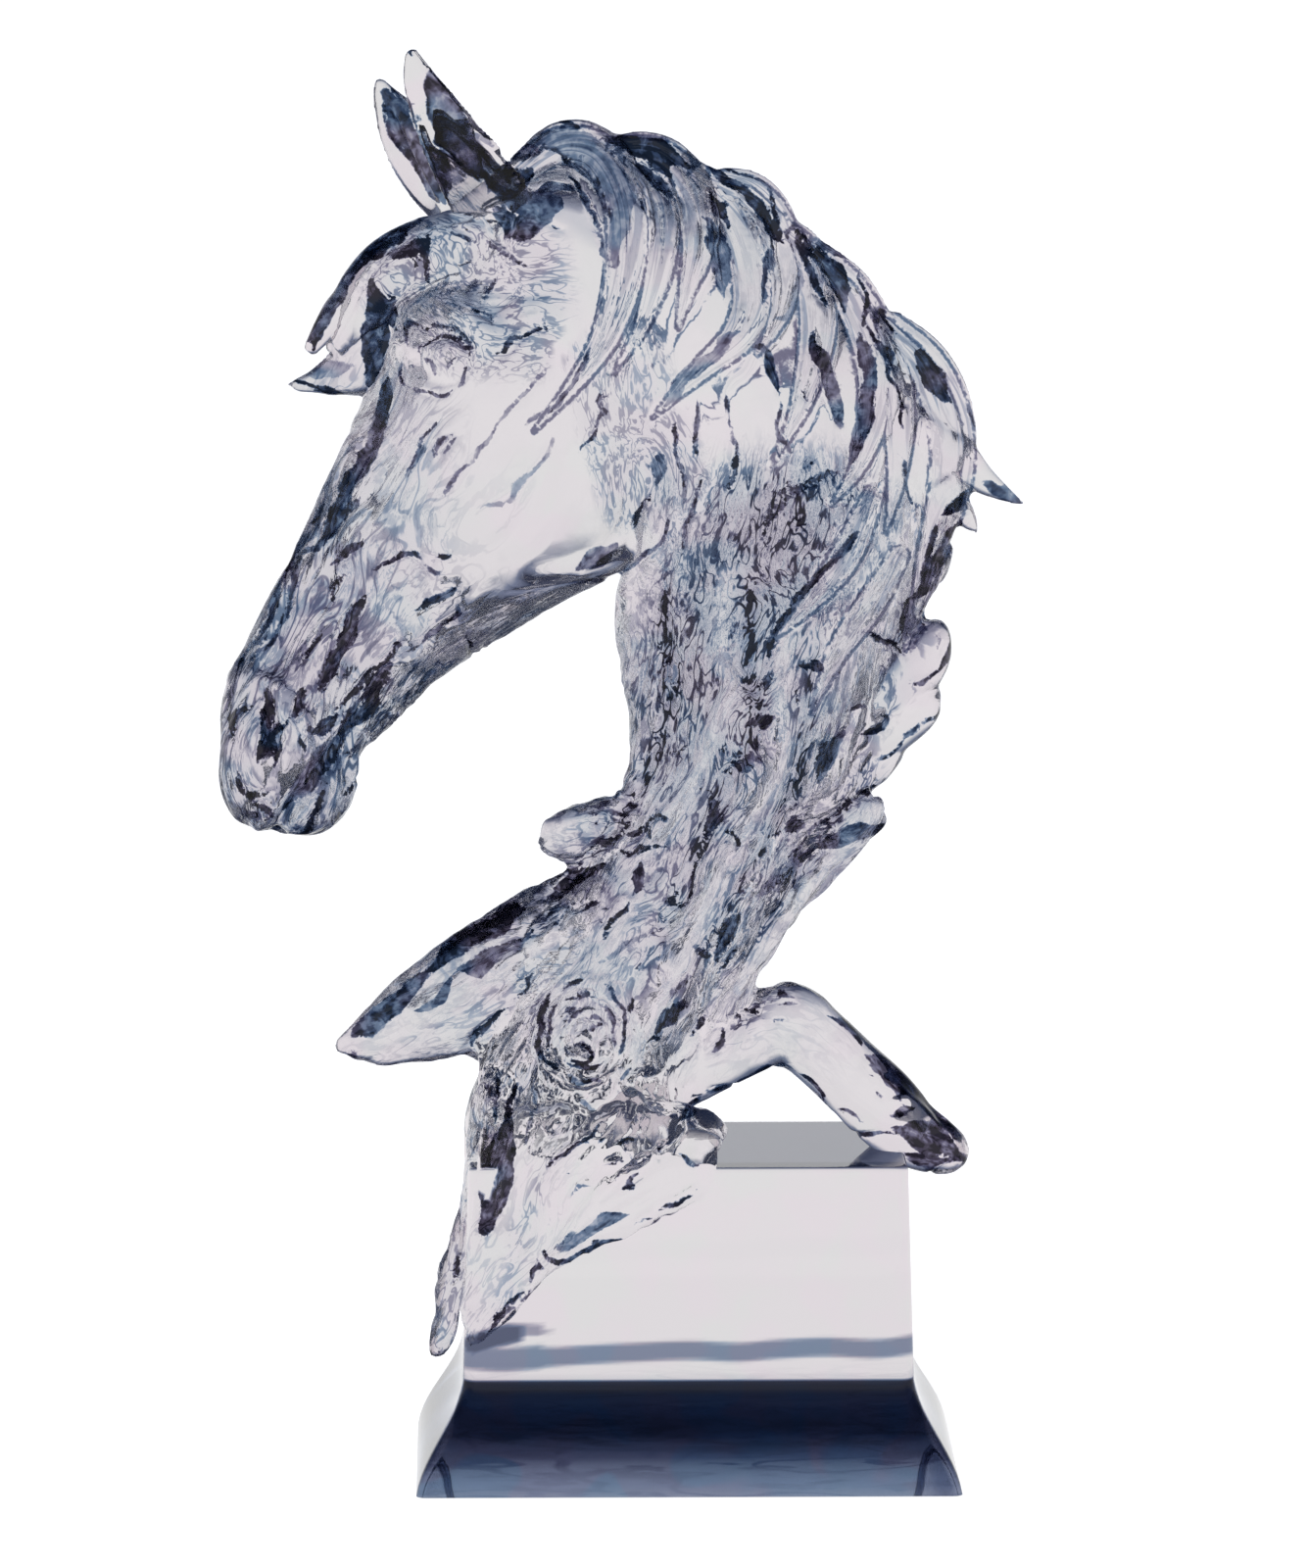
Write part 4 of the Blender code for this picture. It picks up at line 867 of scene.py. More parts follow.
def laid_path(tree, side, points, steps=LINE_STEPS):
    """(u, v, y) along the surface that faces side. A point past its edge takes the nearest edge's y."""
    found = []
    for u, v in smooth_rows(points, steps):
        start = at(u, v, side * REACH)
        ahead = at(u, v, -side * REACH) - start
        hit = tree.ray_cast(start, ahead.normalized())[0]
        if hit is None:
            hit = tree.find_nearest(at(u, v, 0))[0]
        found.append((u, v, hit.y / UNIT / stretch(v, FRONT_STRETCH)))
    found = np.array(found)
    level_out(found, LAID_SMOOTHING)
    return found


def far_head_points(points):
    """The places on the far side of the head that match these on its near side."""
    du = HEAD_SKEW[0] * HEAD_THICKNESS
    dv = (HEAD_SKEW[1] + TILT) * HEAD_THICKNESS
    return [(u + du, v + dv) for u, v in points]


def near_path(spots, path, reach):
    """Which spots are inside the path's box, widened by its reach."""
    path = np.array(path)
    return ((spots > path.min(axis=0) - reach) & (spots < path.max(axis=0) + reach)).all(axis=1)


# A stroke loses height over END_FADE of its length at each end, down to END_SHARE, and falls off across it
# by the power STROKE_FALL. The square of a step's length counts as at least SMALLEST_SQUARE.
END_FADE = 0.2
END_SHARE = 0.1
STROKE_FALL = 1.5
SMALLEST_SQUARE = 1e-12


def carve(obj, tree, strokes, move_far=None):
    """Raises ridges and sinks grooves along paths on the surface."""
    places, normals = read_mesh(obj)
    moved = places.copy()
    for sides, radius, height, points in strokes:
        for side in sides:
            laid = points if side == NEAR or move_far is None else move_far(points)
            path = np.array([at(*row) for row in laid_path(tree, side, laid)])
            moved += stroke_shift(places, normals, path, radius * UNIT, height * UNIT)
    move(obj, moved)


def stroke_shift(places, normals, path, radius, height):
    """How far one stroke moves each vertex: most on its path, nothing past its radius, less at its ends."""
    shift = np.zeros(places.shape)
    chosen = np.flatnonzero(near_path(places, path, radius))
    nearest = np.full(len(chosen), np.inf)
    along = np.zeros(len(chosen))
    for i in range(len(path) - 1):
        start, run = path[i], path[i + 1] - path[i]
        offset = places[chosen] - start
        share = np.clip(offset @ run / max(run @ run, SMALLEST_SQUARE), 0, 1)
        distance = np.linalg.norm(offset - share[:, None] * run, axis=1)
        better = distance < nearest
        nearest[better] = distance[better]
        along[better] = (i + share[better]) / (len(path) - 1)
    closed = np.linalg.norm(path[0] - path[-1]) < radius
    ends = 1 if closed else np.clip(np.minimum(along, 1 - along) / END_FADE, END_SHARE, 1)
    amount = np.clip(1 - (nearest / radius) ** 2, 0, 1) ** STROKE_FALL * height * ends
    shift[chosen] = normals[chosen] * amount[:, None]
    return shift


# A lock is made of strands side by side: where each lies across the lock and its thickness, as shares of
# the lock's half-width, and how far the middle ones stand out. The strands sway by STRAND_SWAY from root to
# tip, each STRAND_STAGGER radians behind the last.
STRANDS = ((-0.78, 0.30), (-0.36, 0.42), (0.10, 0.46), (0.50, 0.38), (0.84, 0.26))
STRAND_CROWN = 0.42
STRAND_SWAY = 0.18
STRAND_STAGGER = 1.7
STRAND_SIDES = 10


def lock_radii(radius, share):
    """A lock's half-width along it."""
    swell = LOCK_ROOT + (1 - LOCK_ROOT) * np.sin(np.pi * share)
    return radius * swell * (1 - (1 - LOCK_TIP) * share**LOCK_TAPER)


def lock(bm, tree, side, radius, points):
    """A tapering ribbon of strands laid on the surface."""
    path = laid_path(tree, side, points, FINE_STEPS)
    level_out(path, LAY_SMOOTHING)
    share = np.linspace(0, 1, len(path))
    radii = lock_radii(radius, share)
    path[:, 2] -= side * radii * LOCK_SINK
    ahead = np.gradient(path[:, :2], axis=0)
    across = np.column_stack([-ahead[:, 1], ahead[:, 0]]) / np.linalg.norm(ahead, axis=1)[:, None]
    for k, (place, width) in enumerate(STRANDS):
        sway = place + STRAND_SWAY * np.sin(2 * math.pi * share + k * STRAND_STAGGER)
        strand = path.copy()
        strand[:, :2] += across * (radii * sway)[:, None]
        strand[:, 2] += side * radii * STRAND_CROWN * (1 - sway**2)
        limb(bm, np.column_stack([strand, radii * width]), STRAND_SIDES, steps=1)


# Which way the grain runs: how far it reaches from its path, its height, the width of a fibre, how
# strong its finest relief is at its start and its end, how much painted shade its grooves hold there,
# then (u, v, y).
Flow = namedtuple("Flow", "reach height width relief smoke path")
FLOWS = [
    Flow(150, 4, 28, (0.6, 0.9), (0.26, 0.80), [
        (-270, 720, 0), (-310, 650, 0), (-345, 560, 0), (-380, 460, 0), (-400, 345, 0),
    ]),
    Flow(150, 6, 15, (1.0, 0.30), (1.2, 0.08), [
        (100, 650, 20), (85, 560, 20), (62, 460, 5), (30, 365, -5), (-10, 280, -10), (-60, 190, -20),
        (-110, 100, -40), (-130, 20, -60),
    ]),
    Flow(62, 6, 15, (0.9, 0.6), (1.1, 1.0), [
        (232, 640, 12), (214, 575, 10), (188, 495, 6), (140, 425, 4), (86, 361, 0), (40, 312, -4),
        (-1, 269, -8),
    ]),
    Flow(70, 4, 14, (0.8, 1.0), (0.25, 0.85), [
        (-150, 582, 0), (-200, 560, -20), (-260, 520, -30), (-330, 440, -50),
    ]),
    Flow(95, 2, 13, (0.3, 0.3), (0.50, 0.45), [
        (-270, 905, -70), (-235, 870, -85), (-195, 850, -85), (-160, 845, -85),
    ]),
    Flow(70, 2, 13, (0.4, 0.5), (0.30, 0.45), [(-80, 800, -80), (-60, 730, -80), (-30, 660, -80)]),
    Flow(110, 2, 18, (0.35, 0.35), (0.40, 0.08), [
        (-110, 190, -34), (-180, 185, -36), (-260, 145, -40), (-350, 112, -42),
    ]),
    Flow(70, 1, 18, (0.12, 0.0), (0.14, 0.0), [
        (30, 96, -28), (90, 119, -22), (163, 80, -16), (226, 14, -18), (280, -16, -20),
    ]),
    Flow(80, 5, 14, (0.7, 0.4), (0.45, 0.40), [
        (20, 150, -32), (60, 220, -34), (110, 277, -36), (190, 345, -38),
    ]),
    Flow(60, 3, 15, (0.5, 0.1), (0.50, 0.0), [(-40, 325, -22), (-150, 308, -27)]),
    Flow(50, 5, 12, (0.6, 0.6), (0.45, 0.45), [(-188, 70, -86), (-218, -40, -80), (-252, -210, -76)]),
    Flow(80, 4, 15, (0.3, 0.35), (0.04, 0.22), [
        (-70, 60, -110), (-110, 0, -134), (-150, -70, -142), (-190, -140, -150), (-218, -198, -152),
    ]),
    Flow(60, 3, 15, (0.3, 0.3), (0.03, 0.12), [
        (-30, -30, -130), (-80, -80, -140), (-130, -130, -145), (-200, -190, -150),
    ]),
]
# A flow fades out over FLOW_FADE of its reach past its ends. Fibres are GRAIN_LENGTH times as long as they
# are wide and wander by GRAIN_WANDER units over WANDER_SCALE units. A second set is FINE_SCALE times as
# fine and FINE_SHARE as high. Where their noise is FIBRE_LEVEL they neither rise nor sink. Fibres under
# FINEST_CARVED wide are carved that wide. The seeds keep the noises apart.
FLOW_FADE = 0.7
GRAIN_LENGTH = 3.6
GRAIN_WANDER = 16
WANDER_SCALE = 60
WANDER_SEED = 50
FINE_SCALE = 2.1
FINE_SHARE = 0.45
FINE_SEED = 20
FIBRE_LEVEL = 0.6
FINEST_CARVED = 19
# Numbers that turn a cell's place and a seed into a fixed random value. The shifts are in bits.
CELL_FACTORS = np.array([374761393, 668265263, 1440662683])
MIXING_FACTOR = 1274126177
POSITIVE_BITS = 0x7FFFFFFF
VALUE_BITS = 0xFFFF
FIRST_SHIFT = 13
SECOND_SHIFT = 15


def cell_value(cells, seed):
    """A fixed random value from -1 to 1 for each whole-number cell."""
    mixed = (cells @ CELL_FACTORS + seed * MIXING_FACTOR) & POSITIVE_BITS
    mixed = ((mixed ^ (mixed >> FIRST_SHIFT)) * MIXING_FACTOR) & POSITIVE_BITS
    return ((mixed ^ (mixed >> SECOND_SHIFT)) & VALUE_BITS) / (VALUE_BITS / 2) - 1


def noise_at(points, seed):
    """Smooth noise from -1 to 1, its features one unit apart."""
    cells = np.floor(points).astype(np.int64)
    share = points - cells
    share = share * share * (3 - 2 * share)
    total = np.zeros(len(points))
    for corner in itertools.product((0, 1), repeat=3):
        weight = np.prod(np.where(corner, share, 1 - share), axis=1)
        total += weight * cell_value(cells + corner, seed)
    return total


def smooth_step(value, low, high):
    """0 below low and 1 above high, with a smooth rise between."""
    share = np.clip((value - low) / (high - low), 0, 1)
    return share * share * (3 - 2 * share)


def on_grid(places):
    """(u, v, y) of each place."""
    u = places[:, 0] / UNIT
    y = places[:, 1] / UNIT
    v = (places[:, 2] - PLINTH_HEIGHT) / UNIT_Z + y * TILT
    return np.column_stack([u, v, y])


def flat_line(path, steps=LINE_STEPS):
    """A smooth line through (u, v), at y zero."""
    return np.array([(u, v, 0) for u, v in smooth_rows(path, steps)])


def length_of(line):
    return np.linalg.norm(np.diff(line, axis=0), axis=1).sum()


def follow(spots, path, past_ends=False):
    """For each spot its way along the path, its offset across it as seen from the front, and its distance.
    The way along is counted on past the ends where past_ends is set."""
    nearest = np.full(len(spots), np.inf)
    along = np.zeros(len(spots))
    across = np.zeros(len(spots))
    passed = 0
    for k, (start, end) in enumerate(zip(path, path[1:])):
        run = end - start
        length = np.linalg.norm(run)
        offset = spots - start
        whole = offset @ run / length**2
        share = np.clip(whole, 0, 1)
        distance = np.linalg.norm(offset - share[:, None] * run, axis=1)
        better = distance < nearest
        nearest[better] = distance[better]
        if past_ends:
            share = np.clip(whole, -np.inf if k == 0 else 0, np.inf if k == len(path) - 2 else 1)
        along[better] = passed + share[better] * length
        across[better] = ((offset[:, 0] * run[1] - offset[:, 1] * run[0]) / length)[better]
        passed += length
    return along, across, nearest


def fibres_of(spots):
    """For each flow its number, the flow itself, its spots, how strong it is there, their place across,
    into and along its fibres, and their share of the way along it."""
    for seed, flow in enumerate(FLOWS):
        chosen = np.flatnonzero(near_path(spots, flow.path, flow.reach))
        some = spots[chosen]
        line = smooth_rows(flow.path, LINE_STEPS)
        along, across, distance = follow(some, line, past_ends=True)
        length = length_of(line)
        overshot = np.maximum(-along, along - length) / flow.reach
        fade = 1 - smooth_step(overshot, 0, FLOW_FADE)
        strength = np.clip(1 - (distance / flow.reach) ** 2, 0, 1) * fade
        slow = np.column_stack([across, along, some[:, 2]]) / WANDER_SCALE
        wander = GRAIN_WANDER * noise_at(slow, seed + WANDER_SEED)
        into = some[:, 2] + wander
        fibre = np.column_stack([across + wander, into, along / GRAIN_LENGTH]) / flow.width
        yield seed, flow, chosen, strength, fibre, np.clip(along / length, 0, 1)


def add_grain(obj):
    """Raises wood fibres that run along the flows."""
    places, normals = read_mesh(obj)
    lift = np.zeros(len(places))
    for seed, flow, chosen, strength, fibre, _ in fibres_of(on_grid(places)):
        fibre *= flow.width / max(flow.width, FINEST_CARVED)
        coarse = 2 * np.abs(noise_at(fibre, seed)) - FIBRE_LEVEL
        fine = 2 * np.abs(noise_at(fibre * FINE_SCALE, seed + FINE_SEED)) - FIBRE_LEVEL
        lift[chosen] += strength * flow.height * (coarse + FINE_SHARE * fine)
    move(obj, places + normals * lift[:, None] * UNIT)


# Where the finest relief and the painted shade of a flow come in, as strengths of the flow. The far side
# keeps FAR_SHARE of both, and how far a face is turned to it is read from its normal's y.
FLOW_FELT = (0.05, 0.6)
FAR_SHARE = 0.55
FAR_TURN = (-0.2, 0.2)
# How much more painted shade the carved grooves of the trunk hold, and how much less its ridges hold, and
# over what shares of their half-width this ends.
GROOVE_GAIN = 0.8
RIDGE_GAIN = -0.75
CARVED_CORE = 0.2
CARVED_EDGE = 0.9
# Over what heights the figure's joint with the plinth ends and over what places its right begins, in units,
# and how much of the relief and painted shade these keep.
JOINT_HEIGHTS = (55, 115)
JOINT_RIGHT = (-150, -90)
JOINT_SHARE = 0.15
# How far a fibre's place, in fibre widths, may move along an edge.
FIBRE_JUMP = 1.3
# Hairs in the locks: their width in units, their length in widths, their relief, their painted shade
# and how much of it fades to the tips, over how many units these come in, and how far past a lock its
# edge is still measured. A normal's y past LOCK_FACING faces the lock's side. HAIR_LAYER parts the
# hairs of two locks.
HAIR_WIDTH = 26
HAIR_LENGTH = 9
HAIR_LAYER = 5.0
LOCK_RELIEF = 0.5
LOCK_PAINTED_SHADE = 0.36
LOCK_FADE = 0.75
LOCK_SOFT = 5
LOCK_MARGIN = 12
LOCK_FACING = -0.15
# The size of the painted streaks of shade on the foot, in metres, their painted shade, and over what
# shares of the way down they come in.
FOOT_STREAK = (0.05, 0.05, 0.006)
FOOT_STREAK_PAINTED_SHADE = 0.08
FOOT_STREAK_RISE = (0.15, 0.6)
# How near a place is to the plinth's own faces, or the foot's, to count as one of them.
PLINTH_SKIN = 0.00015
FOOT_SKIN = 0.0002


def flow_layers(spots):
    """Which way the fibres run at each spot, how strong their finest relief is, and their painted shade."""
    way = np.zeros(spots.shape)
    strongest = np.zeros(len(spots))
    relief = np.zeros(len(spots))
    smoke = np.zeros(len(spots))
    for _, flow, chosen, strength, fibre, passed in fibres_of(spots):
        better = strength > strongest[chosen]
        way[chosen[better]] = fibre[better]
        strongest[chosen[better]] = strength[better]
        felt = smooth_step(strength, *FLOW_FELT)
        for layer, (first, last) in ((relief, flow.relief), (smoke, flow.smoke)):
            layer[chosen] = np.maximum(layer[chosen], felt * (first + (last - first) * passed))
    return way, relief, smoke


def painted_shade_carving(smoke, spots, facing):
    """Paints more shade in the trunk's carved grooves and less on its ridges, on the near side."""
    flat = spots * (1, 1, 0)
    for _, width, height, path in TRUNK_CARVING:
        line = flat_line(path)
        chosen = np.flatnonzero(near_path(flat, line, width) & (facing < 0))
        distance = follow(flat[chosen], line)[2]
        depth = 1 - smooth_step(distance, CARVED_CORE * width, CARVED_EDGE * width)
        smoke[chosen] *= 1 + depth * (GROOVE_GAIN if height < 0 else RIDGE_GAIN)


def lock_hairs(spots, facing):
    """How far inside a lock each spot is, how far from the nearest edge of one, its place across and along
    the lock's hairs, and its share of the way to the lock's tip."""
    first = np.full(len(spots), -float(LOCK_MARGIN))
    second = first.copy()
    passed = np.zeros(len(spots))
    way = np.zeros(spots.shape)
    flat = spots * (1, 1, 0)
    for k, (side, radius, points) in enumerate(LOCKS):
        line = flat_line(points, FINE_STEPS)
        near = near_path(flat, line, radius + LOCK_MARGIN)
        chosen = np.flatnonzero(near & (facing * side > LOCK_FACING))
        along, across, distance = follow(flat[chosen], line)
        share = along / along.max()
        radii = lock_radii(radius, share)
        depth = radii - distance
        layer = np.full(len(chosen), HAIR_LAYER * k)
        hairs = np.column_stack([across * radius / radii, layer, along / HAIR_LENGTH])
        better = depth > first[chosen]
        second[chosen] = np.where(better, first[chosen], np.maximum(second[chosen], depth))
        first[chosen[better]] = depth[better]
        way[chosen[better]] = hairs[better] / HAIR_WIDTH
        passed[chosen[better]] = share[better]
    edge = np.where(first > 0, first - np.maximum(second, 0), -first)
    return first, np.minimum(edge, LOCK_MARGIN), way, passed


def joint_zone(spots, facing):
    """How far each spot is on the far side or the right of the figure's joint with the plinth, 0 to 1."""
    low = 1 - smooth_step(spots[:, 1], *JOINT_HEIGHTS)
    return low * np.maximum(smooth_step(facing, *FAR_TURN), smooth_step(spots[:, 0], *JOINT_RIGHT))


def on_plinth(places):
    """Which places are on the plinth's own faces."""
    rise = (places[:, 2] - FOOT_HEIGHT) / (PLINTH_HEIGHT - FOOT_HEIGHT)
    spread = BLOCK_TAPER * (1 - np.clip(rise, 0, 1)) + PLINTH_SKIN
    within_x = np.abs(places[:, 0]) < PLINTH_WIDTH / 2 + spread
    within_y = np.abs(places[:, 1]) < PLINTH_DEPTH / 2 + spread
    block = within_x & within_y & (places[:, 2] < PLINTH_HEIGHT + PLINTH_SKIN)
    return block | (places[:, 2] < FOOT_HEIGHT)


def jumping(obj, way):
    """The vertices between which the fibres' places jump, as from one flow to the next."""
    edges = np.empty(len(obj.data.edges) * 2, np.int32)
    obj.data.edges.foreach_get("vertices", edges)
    edges = edges.reshape(-1, 2)
    jump = np.linalg.norm(way[edges[:, 0]] - way[edges[:, 1]], axis=1)
    return np.unique(edges[jump > FIBRE_JUMP])


def add_fibres(obj):
    """Stores which way the fibres run at each place, how strong they are for the finest relief, how much
    painted shade they hold, and how far each place is from the edge of a lock."""
    places, normals = read_mesh(obj)
    spots = on_grid(places)
    facing = normals[:, 1]
    way, relief, smoke = flow_layers(spots)
    painted_shade_carving(smoke, spots, facing)
    inside, edge, hairs, passed = lock_hairs(spots, facing)
    covered = inside > 0
    way[covered] = hairs[covered]
    part = smooth_step(inside, 0, LOCK_SOFT)
    relief += (LOCK_RELIEF - relief) * part
    # Painted shade in the locks, fading towards their tips.
    smoke += (LOCK_PAINTED_SHADE * (1 - LOCK_FADE * passed) - smoke) * part
    kept = 1 - (1 - FAR_SHARE) * smooth_step(facing, *FAR_TURN)
    kept *= 1 - (1 - JOINT_SHARE) * joint_zone(spots, facing)
    kept[on_plinth(places)] = 0
    kept[jumping(obj, way)] = 0
    relief *= kept
    smoke *= kept
    # Painted streaks of shade on the foot.
    foot = places[:, 2] < FOOT_HEIGHT
    way[foot] = (places / FOOT_STREAK)[foot]
    smoke[foot] = FOOT_STREAK_PAINTED_SHADE * smooth_step(1 - places[foot, 2] / FOOT_HEIGHT, *FOOT_STREAK_RISE)
    for name, values in (("fibre", way), ("grain", relief), ("groove_painted_shade", smoke), ("lock_edge", edge)):
        store(obj, name, values)


QUARTER_TURN = math.pi / 2
CORNER_STEPS = 6


def side_shares(side):
    """Where the points along a straight side lie, as shares of its half: about PLINTH_GRID apart."""
    half = side / 2 - BLOCK_CORNER_RADIUS
    count = max(2, round(2 * half / PLINTH_GRID))
    return np.linspace(-half, half, count + 1)[1:-1] / half


def plinth_ring(growth, radius, z):
    """A ring with rounded corners round the Z axis, this much wider and deeper than the plinth's top."""
    width = PLINTH_WIDTH + growth
    depth = PLINTH_DEPTH + growth
    ring = []
    for corner in range(4):
        x = (width / 2 - radius) * (1 if corner in (0, 3) else -1)
        y = (depth / 2 - radius) * (1 if corner in (0, 1) else -1)
        for k in range(CORNER_STEPS + 1):
            angle = (corner + k / CORNER_STEPS) * QUARTER_TURN
            ring.append(Vector((x + radius * math.cos(angle), y + radius * math.sin(angle), z)))
        if corner in (0, 2):
            edge = math.copysign(depth / 2, y)
            ring += [Vector((-share * x, edge, z)) for share in side_shares(PLINTH_WIDTH)]
        else:
            edge = math.copysign(width / 2, x)
            ring += [Vector((edge, -share * y, z)) for share in side_shares(PLINTH_DEPTH)]
    return ring


def foot_rings():
    """The foot, which flares out and down."""
    steps = round(FOOT_HEIGHT / PLINTH_GRID)
    for k in range(steps + 1):
        share = k / steps
        wave = (1 - math.cos(math.pi * (1 - share))) / 2
        spread = FOOT_SPREAD * (FOOT_STRAIGHT_SHARE * (1 - share) + (1 - FOOT_STRAIGHT_SHARE) * wave)
        radius = FOOT_CORNER_RADIUS + (BLOCK_CORNER_RADIUS - FOOT_CORNER_RADIUS) * share
        yield plinth_ring(2 * (spread + BLOCK_TAPER), radius, share * FOOT_HEIGHT)


def block_rings():
    """The block, tapering upwards, its grid finer where the band is painted, and its rounded top edge."""
    low = BAND_ZONE / (PLINTH_HEIGHT - TOP_EDGE_RADIUS - FOOT_HEIGHT)
    fine = np.linspace(0, low, round(BAND_ZONE / BAND_GRID) + 1)[1:]
    wide = np.linspace(low, 1, round((PLINTH_HEIGHT - FOOT_HEIGHT - BAND_ZONE) / PLINTH_GRID))[1:-1]
    for share in (*fine, *wide):
        z = FOOT_HEIGHT + (PLINTH_HEIGHT - TOP_EDGE_RADIUS - FOOT_HEIGHT) * share
        yield plinth_ring(2 * BLOCK_TAPER * (1 - share), BLOCK_CORNER_RADIUS, z)
    for k in range(TOP_EDGE_STEPS + 1):
        angle = k / TOP_EDGE_STEPS * QUARTER_TURN
        inset = 2 * TOP_EDGE_RADIUS * (1 - math.cos(angle))
        z = PLINTH_HEIGHT - TOP_EDGE_RADIUS * (1 - math.sin(angle))
        yield plinth_ring(-inset, BLOCK_CORNER_RADIUS, z)
    yield plinth_ring(-inset - 2 * FLAT_MARGIN, BLOCK_CORNER_RADIUS - FLAT_MARGIN, PLINTH_HEIGHT)


def make_plinth():
    bm = bmesh.new()
    loft(bm, [*foot_rings(), *block_rings()])
    bmesh.ops.recalc_face_normals(bm, faces=bm.faces)
    return object_of(bm, "plinth")


# How many points go round an ear or the forelock's flap, and round a forelock, a spike or a lobe.
EAR_SIDES = 24
TIP_SIDES = 16


def make_figure():
    """The head, mane, trunk and roots as one skin, carved and grained."""
    base = fuse("base", base_forms, BASE_VOXEL, BASE_SMOOTHING)
    tree = surface_tree(base)
    carve(base, tree, HEAD_CARVING, far_head_points)
    carve(base, tree, TRUNK_CARVING + knot_carving())

    def figure_forms(bm):
        bm.from_mesh(base.data)
        for rows in (NEAR_EAR, FAR_EAR, FORELOCK_FLAP):
            blade(bm, rows, around=EAR_SIDES, steps=FINE_STEPS)
        for rows in FORELOCK + SPIKES + BACK_LOBES:
            limb(bm, rows, TIP_SIDES, FINE_STEPS)
        for side, radius, points in LOCKS:
            lock(bm, tree, side, radius, points)

    figure = fuse("figure", figure_forms, FIGURE_VOXEL, FIGURE_SMOOTHING)
    bpy.data.objects.remove(base)
    carve(figure, surface_tree(figure), EAR_CARVING)
    add_grain(figure)
    grooves = [((NEAR,), width, -depth, path) for width, depth, _, path in MARKS]
    carve(figure, surface_tree(figure), grooves)
    return figure


def fewer_faces(obj, most, first=None):
    """The object with its flattest faces joined, down to this many triangles. Those of a group of vertices,
    if one is named, go first."""
    thin = obj.modifiers.new("fewer faces", "DECIMATE")
    thin.ratio = min(1, most / triangle_count(obj))
    thin.use_collapse_triangulate = True
    if first:
        thin.vertex_group = first
        thin.vertex_group_factor = 1
    return evaluated_copy(obj, obj.name)


def thin_figure(figure):
    """Keeps most of the faces on the dressed side."""
    normals = read_mesh(figure)[1]
    group = figure.vertex_groups.new(name="far side")
    group.add(np.flatnonzero(normals[:, 1] > FAR_FACING).tolist(), 1, "REPLACE")
    figure = fewer_faces(figure, FAR_THINNED_TRIANGLES, group.name)
    return fewer_faces(figure, FIGURE_TRIANGLES)


def make_casting():
    """The figure and the plinth as one skin, with what the resin's colour is read from."""
    figure = thin_figure(make_figure())
    plinth = make_plinth()
    join = plinth.modifiers.new("figure", "BOOLEAN")
    join.operation = "UNION"
    join.object = figure
    join.solver = "EXACT"
    casting = evaluated_copy(plinth, "horse_head_casting")
    bpy.data.objects.remove(figure)
    casting.data.validate()
    casting.data.shade_smooth()
    casting.data.set_sharp_from_angle(angle=SHARP_EDGE)
    add_painted_shade(casting)
    add_marks(casting)
    add_fibres(casting)
    print("casting triangles", triangle_count(casting))
    return casting


# The foot's painted shade, which stands in for the dark seen through its resin, at its top and its
# bottom, and over what share of its height it changes.
FOOT_PAINTED_SHADE_TOP = 0.92
FOOT_PAINTED_SHADE_LOW = 0.46
FOOT_PAINTED_SHADE_RISE = 0.6
# Faces of the foot that face less to the front than this lose their painted shade at their top, from
# one share of its height down to another.
FOOT_FRONT_FACING = -0.3
FOOT_CLEAR = (0.35, 0.8)
# Faces turned upwards, by their normal's z, get this much painted shade, coming in over these heights
# in units.
UP_FACING = (0.35, 0.75)
UP_PAINTED_SHADE = 0.18
UP_HEIGHTS = (60, 260)
# Marks from WIDE_MARK wide are patches, and the others lines: over how many half-widths their ends taper,
# and how much of their half-width and of their painted shade they show. Their depth is measured
# MARK_MARGIN units past them. They are on the side that faces the viewer, by the normal's y there.
WIDE_MARK = 8
LINE = (4, 0.62, 1.1)
PATCH = (2.8, 0.95, 0.92)
MARK_MARGIN = 10
MARK_FACING = (-0.1, 0.2)
# The share of its width that a mark has left at its ends, how pointed they are, from 0, square, to 1,
# straight, and how far it wavers, in units, at what sizes.
MARK_END = 0.15
MARK_POINT = 0.85
MARK_WARP = 6
WARP_SIZES = ((26, 1.0), (11, 0.5))
WARP_SEED = 90
# The wavy band of painted shade low on the block's front, which stands in for a dark line seen through
# the resin: its half-width and painted shade, then (u, v). It fades past BAND_CORE of its half-width.
# The block's front lies nearer than BLOCK_FRONT units.
BLOCK_FRONT = -135
BAND_CORE = 0.6
BLOCK_BAND = [
    (13, 0.70, [(-218, -197), (-196, -190), (-178, -186)]),
    (7, 0.40, [(-184, -186), (-160, -182), (-148, -184)]),
    (15, 0.47, [(-226, -210), (-190, -213), (-150, -210)]),
    (12, 0.47, [
        (-170, -213), (-120, -209), (-60, -206), (0, -204), (50, -206), (90, -203), (140, -201),
        (190, -203), (232, -198),
    ]),
]


def warp_of(spots):
    """How far the marks waver at each spot, in u and v."""
    warp = np.zeros(spots.shape)
    for size, share in WARP_SIZES:
        for axis in (0, 1):
            warp[:, axis] += MARK_WARP * share * noise_at(spots / size, WARP_SEED + size + axis)
    return warp


